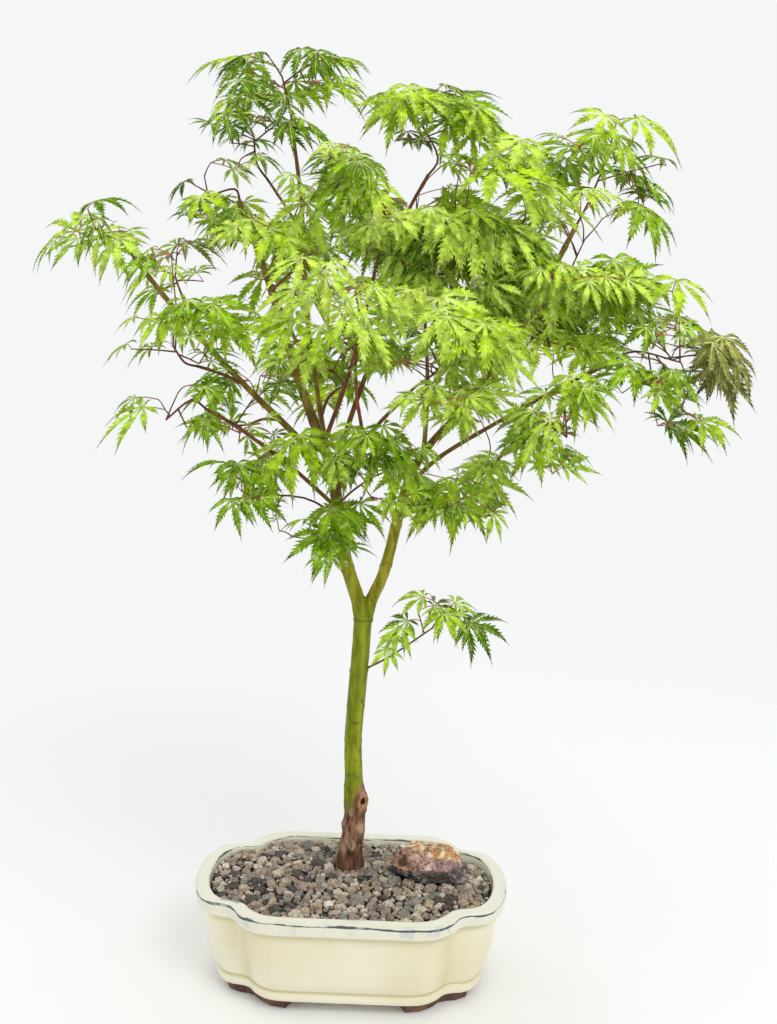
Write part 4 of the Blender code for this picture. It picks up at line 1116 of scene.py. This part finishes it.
def seenIn(leaf, places):  # whether a leaf is seen from the front in one of these places
    point = leaf["centre"] + leaf["frame"][0] * (0.4 * leaf["length"])
    share = -eyeY / (point.y - eyeY)
    x = eyeX + (point.x - eyeX) * share
    z = eyeZ + (point.z - eyeZ) * share
    return any(((x - midX) / halfX) ** 2 + ((z - midZ) / halfZ) ** 2 < 1
               for midX, midZ, halfX, halfZ in places)


def stemOf(mass, limbEnds):
    middle = mass["middle"]
    if mass["root"] in limbEnds:
        tip, heading = limbEnds[mass["root"]]
        start = tip + heading * growth["gap"]
        first = start + heading * (middle - start).length * 0.45
    else:
        start, first = (Vector(p) for p in mass["root"])
    return [start, first.lerp(start, 0.15), middle]


def leafFrame(leaf):
    along = leaf["axis"].normalized()
    across = upright.cross(along)
    if across.length < 0.05:
        across = Vector((1, 0, 0))
    across.normalize()
    across = Matrix.Rotation(leaf["roll"], 3, along) @ across
    return along, across, along.cross(across)


def faceLight(leaf, rng):  # the blade's face leans out towards the light
    axes = leafFrame(leaf)
    x, y, _ = leaf["centre"]
    out = Vector((0.25 * x / 100, max(-1, min(1, (y - 105) / 45)), 0))
    turn = axes[2].rotation_difference((out * leafShape["faceOut"] + upright).normalized())
    turn.angle *= rng.uniform(*leafShape["faceShare"])
    leaf["frame"] = [turn @ way for way in axes]


def leafTips(leaf):
    along, across, up = leaf["frame"] if "frame" in leaf else leafFrame(leaf)
    tips = []
    for angle, share in growth["lobes"]:
        turn = math.radians(angle)
        reach = leaf["length"] * share
        tips.append(leaf["centre"] + along * math.cos(turn) * reach + across * math.sin(turn) * reach
                    - up * leaf["droop"] * reach)
    return tips


def leafPieces(leaf):
    stalk = (leaf["root"] * 0.3 + leaf["centre"] * 0.7, leaf["centre"], growth["stalk"])
    return [stalk, *((leaf["centre"], tip, growth["lobeHalf"]) for tip in leafTips(leaf))]


def leafFits(leaf, mass, placed):
    tips = leafTips(leaf)
    least = growth["spacing"] * leaf["length"]
    return (all(inCell(point, mass, growth["cellMargin"]) for point in [*tips, leaf["centre"]])
            and all(inReach(tip, mass, growth["reachShare"]) for tip in tips)
            and all((other["centre"] - leaf["centre"]).length >= least for other in placed)
            and isClear(leafPieces(leaf), growth["limbMargin"]))


def pointAlong(route, share):
    spans = [(route[i + 1] - route[i]).length for i in range(len(route) - 1)]
    left = share * sum(spans)
    for i, span in enumerate(spans):
        if left <= span or i == len(spans) - 1:
            return route[i].lerp(route[i + 1], left / span), (route[i + 1] - route[i]).normalized()
        left -= span


def growTwigs(mass, stem, rng):
    twigs = []
    margin = growth["cellMargin"] + 1
    high, fall = growth["twigLift"]
    for k in range(mass["twigs"]):
        start, _ = pointAlong(stem, growth["firstTwig"] - growth["nextTwig"] * k)
        for _ in range(growth["tries"]):
            turn = golden * k + mass["seed"] + rng.uniform(-growth["twigTurn"], growth["twigTurn"])
            lift = high - fall * k / (mass["twigs"] - 1) + rng.uniform(*growth["liftSlack"])
            flat = math.sqrt(1 - lift * lift)
            far = rng.uniform(*growth["twigReach"])
            way = Vector((math.cos(turn) * flat, math.sin(turn) * flat, lift))
            end = mass["middle"] + Vector(w * r for w, r in zip(way, mass["reach"])) * far
            pieces = [(start.lerp(end, 0.2), end, growth["twig"])]
            inside = inCell(end, mass, margin) and inCell(start, mass, margin)
            if inside and isClear(pieces, growth["twigMargin"], mass["name"] + " stem"):
                twigs.append([start, end])
                hold("twigs", pieces)
                break
    return twigs


def throwLeaf(site, heading, middle, length, attempt, rng, stalkReach):
    stalkTurn, bladeTurn, roll = (growth[key] for key in ("stalkTurn", "bladeTurn", "bladeRoll"))
    out = site - middle
    out.z *= 0.4
    if out.length < 1:
        out = heading.copy()
    out.normalize()
    aim = Matrix.Rotation(rng.uniform(-stalkTurn, stalkTurn), 3, "Z") @ (out * 0.8 + heading * 0.5)
    aim.z = rng.uniform(*growth["stalkRise"])
    aim.normalize()
    flat = Vector((aim.x, aim.y, 0)).normalized()
    axis = Matrix.Rotation(rng.uniform(-bladeTurn, bladeTurn), 3, "Z") @ flat
    axis.z = -math.tan(rng.uniform(*growth["bladeDip"]))
    return {
        "root": site,
        "centre": site + aim * rng.uniform(*stalkReach),
        "axis": axis,
        "roll": rng.uniform(-roll, roll),
        "length": length * rng.uniform(*growth["sizes"]) * growth["shrink"] ** attempt,
        "droop": rng.uniform(*growth["droop"]),
    }


def growMass(mass, stem):
    rng = random.Random(mass["seed"])
    twigs = growTwigs(mass, stem, rng)
    leaves = []
    for share in growth["sites"]:
        for number, twig in enumerate(twigs):
            site, heading = pointAlong(twig, share)
            for attempt in range(growth["tries"]):
                leaf = throwLeaf(site, heading, mass["middle"], mass["lobe"], attempt, rng,
                                 growth["stalkReach"])
                if len(leaves) < mass["leaves"] and leafFits(leaf, mass, leaves):
                    leaf["spray"] = number
                    leaves.append(leaf)
                    hold("leaves", [(start, end, growth["overlap"]) for start, end, _ in leafPieces(leaf)])
                    break
    return twigs, leaves


def leavesAt(mass, shoot, spray, rng, placed):  # how many leaves find room at the end of a shoot
    _, site, end, middle, (reachShare, cellMargin), spot = shoot
    aim = (end - site).normalized()
    ceiling = finer["ceilings"].get(mass["name"], boxHigh.z)
    grown = 0
    for _ in range(finer["leavesEach"]):
        for attempt in range(finer["tries"]):
            length = mass["lobe"] * rng.uniform(*finer["leafShare"])
            leaf = throwLeaf(end, aim, middle, length, attempt, rng, finer["stalkReach"])
            leaf["spray"] = spray
            leaf["axis"].z = -math.tan(rng.uniform(*finer["dip"]))
            faceLight(leaf, rng)
            tips = leafTips(leaf)
            least = finer["spacing"] * mass["lobe"]
            if (leaf["centre"].z <= ceiling and not seenIn(leaf, finer["sky"])
                    and (spot is None or seenIn(leaf, [spot]))
                    and all((other["centre"] - leaf["centre"]).length >= least for other in placed)
                    and all(inBox(point, 3) for point in [*tips, leaf["centre"]])
                    and all(inCell(tip, mass, cellMargin) and inReach(tip, mass, reachShare) for tip in tips)
                    and isClear(leafPieces(leaf), finer["limbMargin"], "leaves")):
                placed.append(leaf)
                grown += 1
                break
    return grown


def growFiner(mass, stem, twigs, leaves):  # side shoots of the twigs, each with a few leaves
    rng = random.Random(mass["seed"] + 500)
    middle = mass["middle"]
    bases = [*twigs, stem[1:]]
    limits = finer["limits" if mass["shoots"] < finer["denseFrom"] else "denseLimits"]
    wanted = []
    for k in range(mass["shoots"]):
        number = k % len(bases)
        site, heading = pointAlong(bases[number], rng.uniform(*finer["shootFrom"]))
        aim = Matrix.Rotation(golden * k + rng.uniform(-0.5, 0.5), 3, "Z") @ Vector((1, 0, 0))
        aim = aim + heading * 0.7 + (site - middle).normalized() * 0.5
        aim.z += rng.uniform(0, 0.5)
        end = site + aim.normalized() * rng.uniform(*finer["shootLength"])
        if not inReach(end, mass, 0.85) or not inCell(end, mass, 0) or not inBox(end, 6):
            end = site.lerp(end, 0.5)
        wanted.append((number, site, end, middle, limits, None))
    eye = Vector(camera["place"]) / mm
    for x, z in finer["fill"].get(mass["name"], ()):
        end = eye + (Vector((x, 0, z)) - eye) * ((middle.y - eye.y) / -eye.y)
        end.z = min(end.z + finer["fillRise"], boxHigh.z - 7)
        sites = [(number, pointAlong(base, share)[0]) for number, base in enumerate(bases)
                 for share in (0.4, 0.6, 0.8, 1)]
        number, site = min(sites, key=lambda item: (item[1] - end).length)
        back = Vector((site.x - end.x, site.y - end.y, 0))
        end += back.normalized() * min(finer["fillShort"], 0.7 * back.length)
        spot = (x, z, finer["fillHalf"], finer["fillHalf"])
        wanted.append((number, site, end, site, finer["fillLimits"], spot))
    shoots = []
    placed = list(leaves)
    used = {leaf["spray"] for leaf in leaves}
    for k, shoot in enumerate(wanted):
        if leavesAt(mass, shoot, 10 + k, rng, placed):
            number, site, end, *_ = shoot
            used.add(number)
            out = Vector((end.x - middle.x, end.y - middle.y, 0)).normalized()
            bow = out * max(0, (end - site).length - finer["straight"]) * finer["bow"]
            shoots.append([site, site.lerp(end, 0.5) + bow + upright, end])
            hold("twigs", [(site.lerp(end, 0.3), end, finer["shootHalf"])])
    bearing = [twig for number, twig in enumerate(twigs) if number in used]
    return bearing, shoots, placed[len(leaves):]


def growCrown():
    route = smoothRoute(trunk["route"], 2)
    runs = [("trunk", route, trunkRadii(len(route)))]
    for points, start, end in forkStubs:
        runs.append(("stub", [Vector(p) for p in points], [start, 0.5 * (start + end), end]))
    for name, (points, start, end) in limbs.items():
        route = smoothRoute(points, 2 if len(points) > 3 else 3)
        runs.append((name, route, tapered(len(route), start, end)))
    limbEnds = {}
    for name, route, radii in runs:
        hold(name, [(route[i], route[i + 1], max(radii[i], radii[i + 1])) for i in range(len(route) - 1)])
        limbEnds[name] = (route[-1], (route[-1] - route[-2]).normalized())
    stems = {name: stemOf(mass, limbEnds) for name, mass in masses.items()}
    for name, stem in stems.items():
        hold(name + " stem", [(stem[0], stem[1], growth["stem"])])
    grown = {name: growMass(masses[name], stem) for name, stem in stems.items()}
    dressed = []
    for name, (twigs, leaves) in grown.items():
        for leaf in leaves:
            faceLight(leaf, random.Random(str(leaf["centre"])))
            leaf["centre"].z = min(leaf["centre"].z, boxHigh.z - finer["topGap"])
        leaves = [leaf for leaf in leaves if not seenIn(leaf, finer["sky"])]
        bearing, shoots, added = growFiner(masses[name], stems[name], twigs, leaves)
        dressed.append((masses[name], stems[name], bearing, leaves, shoots, added))
    return dressed


crown = growCrown()
print("crown grown:", sum(len(part[3]) for part in crown), "leaves of the source and",
      sum(len(part[5]) for part in crown), "finer ones")
massNodes = ["foliage_" + name for name in masses]
redBoughs = ("middle", "front", "centre_back", "front_right")
twigRadii = {  # from root to tip
    "stem": (1.05, 0.7),
    "twig": (0.72, 0.46),
    "shoot": (0.55, 0.4),
    "stalk": (0.46, 0.42, 0.4, 0.4, 0.44),
}
oldNodes = {"apart": 34, "shift": 11, "middle": 17, "width": 2.4, "size": 0.22}  # swellings of the boughs


def redBark(name, young, old, scale):
    look = Finish(name, young, 0.6, shine=0.2)
    streaks = look.noise(scale, 4, 0.6, 0.5)
    olive = look.tone(streaks, 0.36, 0.64, (100, 82, 26), (146, 124, 52))
    colour = look.tone(streaks, 0.35, 0.65, young, old)
    look.paint(look.tone(look.attribute("thick"), 0.06, 0.34, colour, olive))
    look.bump(look.noise(420), 0.0006, 0.5)
    return look.material


def makeBoughs():
    names = [name for name in limbs if not name.startswith("leader")]
    runs = []
    for name in names:
        points, start, end = limbs[name]
        route = smoothRoute(points, 9)
        radii = tapered(len(route), start, end)
        walked = 0
        for i in range(len(route)):
            walked += (route[i] - route[i - 1]).length if i else 0
            along = (walked + oldNodes["shift"]) % oldNodes["apart"]
            radii[i] += oldNodes["size"] * bell(along, oldNodes["middle"], oldNodes["width"]) * start / 2
        runs.append((route, radii))
    piece = sweepRuns("boughBark", runs, 3)
    points = pointsOf(piece)
    middle = np.array([tuple(p) for route, _ in runs for p in route])
    nearest = np.concatenate([np.linalg.norm(part[:, None] - middle, axis=2).argmin(1)
                              for part in np.array_split(points, 20)])
    near = np.concatenate([radii for _, radii in runs])[nearest]
    redder = np.concatenate([[name in redBoughs] * len(radii) for name, (_, radii) in zip(names, runs)])
    relief = np.array([noise.fractal(Vector((x * 0.5, y * 0.5, z * 0.2)), 1, 2, 3) for x, y, z in points])
    movePoints(piece, points + readPoints(piece, "normal") * (relief * 0.16 * near / 2)[:, None])
    giveAttributes(piece, thick=(near - 1) / 3.2 * np.where(redder[nearest], 0.25, 1))
    coat(piece, redBark("boughBark", (132, 82, 52), (96, 56, 40), 120), 50)
    rideRoot(piece, "bark_red", *("bough_" + name for name in names))


def farthest(start, tip, roots):  # how far out along a twig the last leaf or shoot grows
    way = tip - start
    shares = [(root - start).dot(way) / way.length_squared for root in roots]
    return max([s for s, root in zip(shares, roots) if (start + way * s - root).length < 0.1], default=0.1)


def makeTwigs():
    runs = []
    stalks = []
    for _, stem, twigs, leaves, shoots, added in crown:
        first = stem[0] - (stem[1] - stem[0]).normalized() * 3
        route = smoothRoute([first, *stem[1:]], 4)
        runs.append((route, tapered(len(route), *twigRadii["stem"])))
        roots = [leaf["root"] for leaf in leaves] + [shoot[0] for shoot in shoots]
        for start, tip in twigs:
            end = start.lerp(tip, farthest(start, tip, roots))
            rise = upright * ((end - start).length * 0.015)
            route = smoothRoute([start, start.lerp(end, 0.5) + rise, end], 3)
            runs.append((route, tapered(len(route), *twigRadii["twig"])))
        runs.extend((smoothRoute(shoot, 4), tapered(9, *twigRadii["shoot"])) for shoot in shoots)
        for leaf in leaves + added:
            bend = leaf["root"].lerp(leaf["centre"], 0.55) + upright * 0.9
            stalks.append((smoothRoute([leaf["root"], bend, leaf["centre"]], 2), twigRadii["stalk"]))
    for route, _ in runs + stalks:
        for point in route:
            point.z = min(point.z, boxHigh.z - 0.8)
    twigPiece = sweepRuns("twigBark", runs, 1)
    giveAttributes(twigPiece, thick=np.zeros(len(twigPiece.data.vertices)))
    coat(twigPiece, redBark("twigBark", (122, 74, 52), (90, 56, 42), 200), 60)
    rideRoot(twigPiece, "foliage", *massNodes)
    look = Finish("leafStalks", (176, 104, 84), 0.5)
    look.paint(look.tone(look.noise(160), 0.4, 0.62, (188, 128, 84), (158, 82, 74)))
    stalkPiece = sweepRuns("leafStalks", stalks, 0)
    coat(stalkPiece, look.material, 60)
    rideRoot(stalkPiece, "foliage")


def lobeLine(leaf, lobe, places):  # points and headings down a lobe's midrib
    way, side, up, reach, sway = lobe
    steps = leafShape["steps"]
    fall = (upright * -0.75 - up * (0.25 + leaf["droop"])) * leaf["hang"]
    place = leaf["centre"]
    line = [(0, place, way)]
    for i in range(1, steps + 1):
        t = i / steps
        heading = (way + fall * t ** 1.5 + side * (sway * t)).normalized()
        place = place + heading * (reach / steps)
        line.append((round(t, 3), place, heading))
    found = []
    for wanted in places:
        t, place, heading = min(line, key=lambda known: abs(known[0] - wanted))
        found.append((place + heading * ((wanted - t) * reach), heading))
    return found


def lobeMesh(leaf, angle, share, ribs, edges, rng, blade, veins):
    along, across, up = leaf["frame"]
    slack, sway, shift = (leafShape[key] for key in ("lobeTurn", "sway", "toothShift"))
    turn = math.radians(angle + rng.uniform(-slack, slack))
    way = along * math.cos(turn) + across * math.sin(turn)
    side = up.cross(way)
    reach = leaf["length"] * leafShape["tail"] * share * rng.uniform(*leafShape["lobeReach"])
    lobe = (way, side, up, reach, rng.uniform(-sway, sway))
    broad = leaf["broad"] * rng.uniform(*leafShape["lobeBroad"])
    base = len(blade.points)
    spine = lobeLine(leaf, lobe, ribs)
    blade.points.extend(place for place, _ in spine)
    long = len(edges) == 4
    for sign in (1, -1):
        for k, edge in enumerate(edges):
            first = len(blade.points)
            last = len(edge) - 1
            ahead = rng.uniform(-shift, shift)
            wide = broad * rng.uniform(*leafShape["edgeBroad"])
            places = [t + (ahead if 0 < i < last else 0) for i, (t, _) in enumerate(edge)]
            for i, ((place, heading), (_, half)) in enumerate(zip(lobeLine(leaf, lobe, places), edge)):
                own = wide if 0 < i < last else broad
                lift = heading.cross(side).normalized()
                blade.points.append(place + (side * sign + lift * leafShape["fold"]) * (half * own * reach))
            face = [base + k, base + k + 1, *range(first + last, first - 1, -1)]
            blade.faces.append(face if sign > 0 else face[::-1])
            blade.kinds.append(k if long else 1 + k)
    if long:
        first = len(veins.points)
        for (place, heading), wide in zip(spine, (1, 0.9, 0.7, 0.35)):
            lift = heading.cross(side).normalized() * 0.14
            aside = side * (leafShape["veinHalf"] * wide)
            veins.points.extend((place + aside + lift, place - aside + lift))
        veins.faces.extend([first + k + 1, first + k + 3, first + k + 2, first + k] for k in (0, 2, 4))


def fittedBlade(leaf, rng):  # a leaf that would reach out of the box is grown smaller
    for _ in range(12):
        state = rng.getstate()
        blade = Heap()
        veins = Heap()
        for lobes, ribs, edges in (("lobes", "ribs", "edges"), ("smallLobes", "smallRibs", "smallEdges")):
            for angle, share in leafShape[lobes]:
                lobeMesh(leaf, angle, share, leafShape[ribs], leafShape[edges], rng, blade, veins)
        if all(inBox(p, 0.5) for p in blade.points):
            break
        rng.setstate(state)
        leaf["length"] *= 0.93
    return blade, veins


def leafFinish(name, colour):
    look = Finish(name, colour, 0.5, shine=0.08)
    body = look.tone(look.noise(130, 4, 0.7), 0.40, 0.62, scaled(colour, 0.66), scaled(colour, 1.24))
    sheen = look.times(look.band(look.noise(190, 3), 0.54, 0.66), 0.42)
    look.paint(look.blend(sheen, body, (222, 236, 158)))
    look.bump(look.noise(900, 3), 0.0003, 0.35)
    return look.material


def makeLeaves():
    rng = random.Random(leafShape["seed"])
    tints = [name for name, _, _ in leafTints]
    heaps = {name: Heap() for name in tints}
    allVeins = Heap()
    for mass, _, _, leaves, _, added in crown:
        sprays = {}
        for leaf in leaves + added:
            if leaf["spray"] not in sprays:
                drawn = rng.choices(tints, mixes[mass["mix"]])[0]
                sprays[leaf["spray"]] = "Tanned" if seenIn(leaf, finer["dry"]) else drawn
            leaf["hang"] = rng.uniform(*leafShape["hang"])
            leaf["broad"] = rng.uniform(*leafShape["broad"])
            blade, veins = fittedBlade(leaf, rng)
            heaps[sprays[leaf["spray"]]].add(blade.points, blade.faces, blade.kinds)
            allVeins.add(veins.points, veins.faces)
    for name, blade, tip in leafTints:
        finishes = []
        for zone, toVein, toTip in leafShape["zones"]:
            colour = [(1 - toVein - toTip) * b + toVein * v + toTip * t
                      for b, v, t in zip(blade, leafShape["vein"], tip)]
            finishes.append(leafFinish("leaf" + zone + name, colour))
        rideRoot(heaps[name].piece("leaves" + name, finishes), "foliage", *massNodes)
        print("leaves", name, len(heaps[name].faces), "faces")
    rideRoot(allVeins.piece("leafVeins", [leafFinish("leafVein", leafShape["vein"])]), "foliage")


makeBoughs()
makeTwigs()
makeLeaves()
print("boughs, twigs and leaves made")
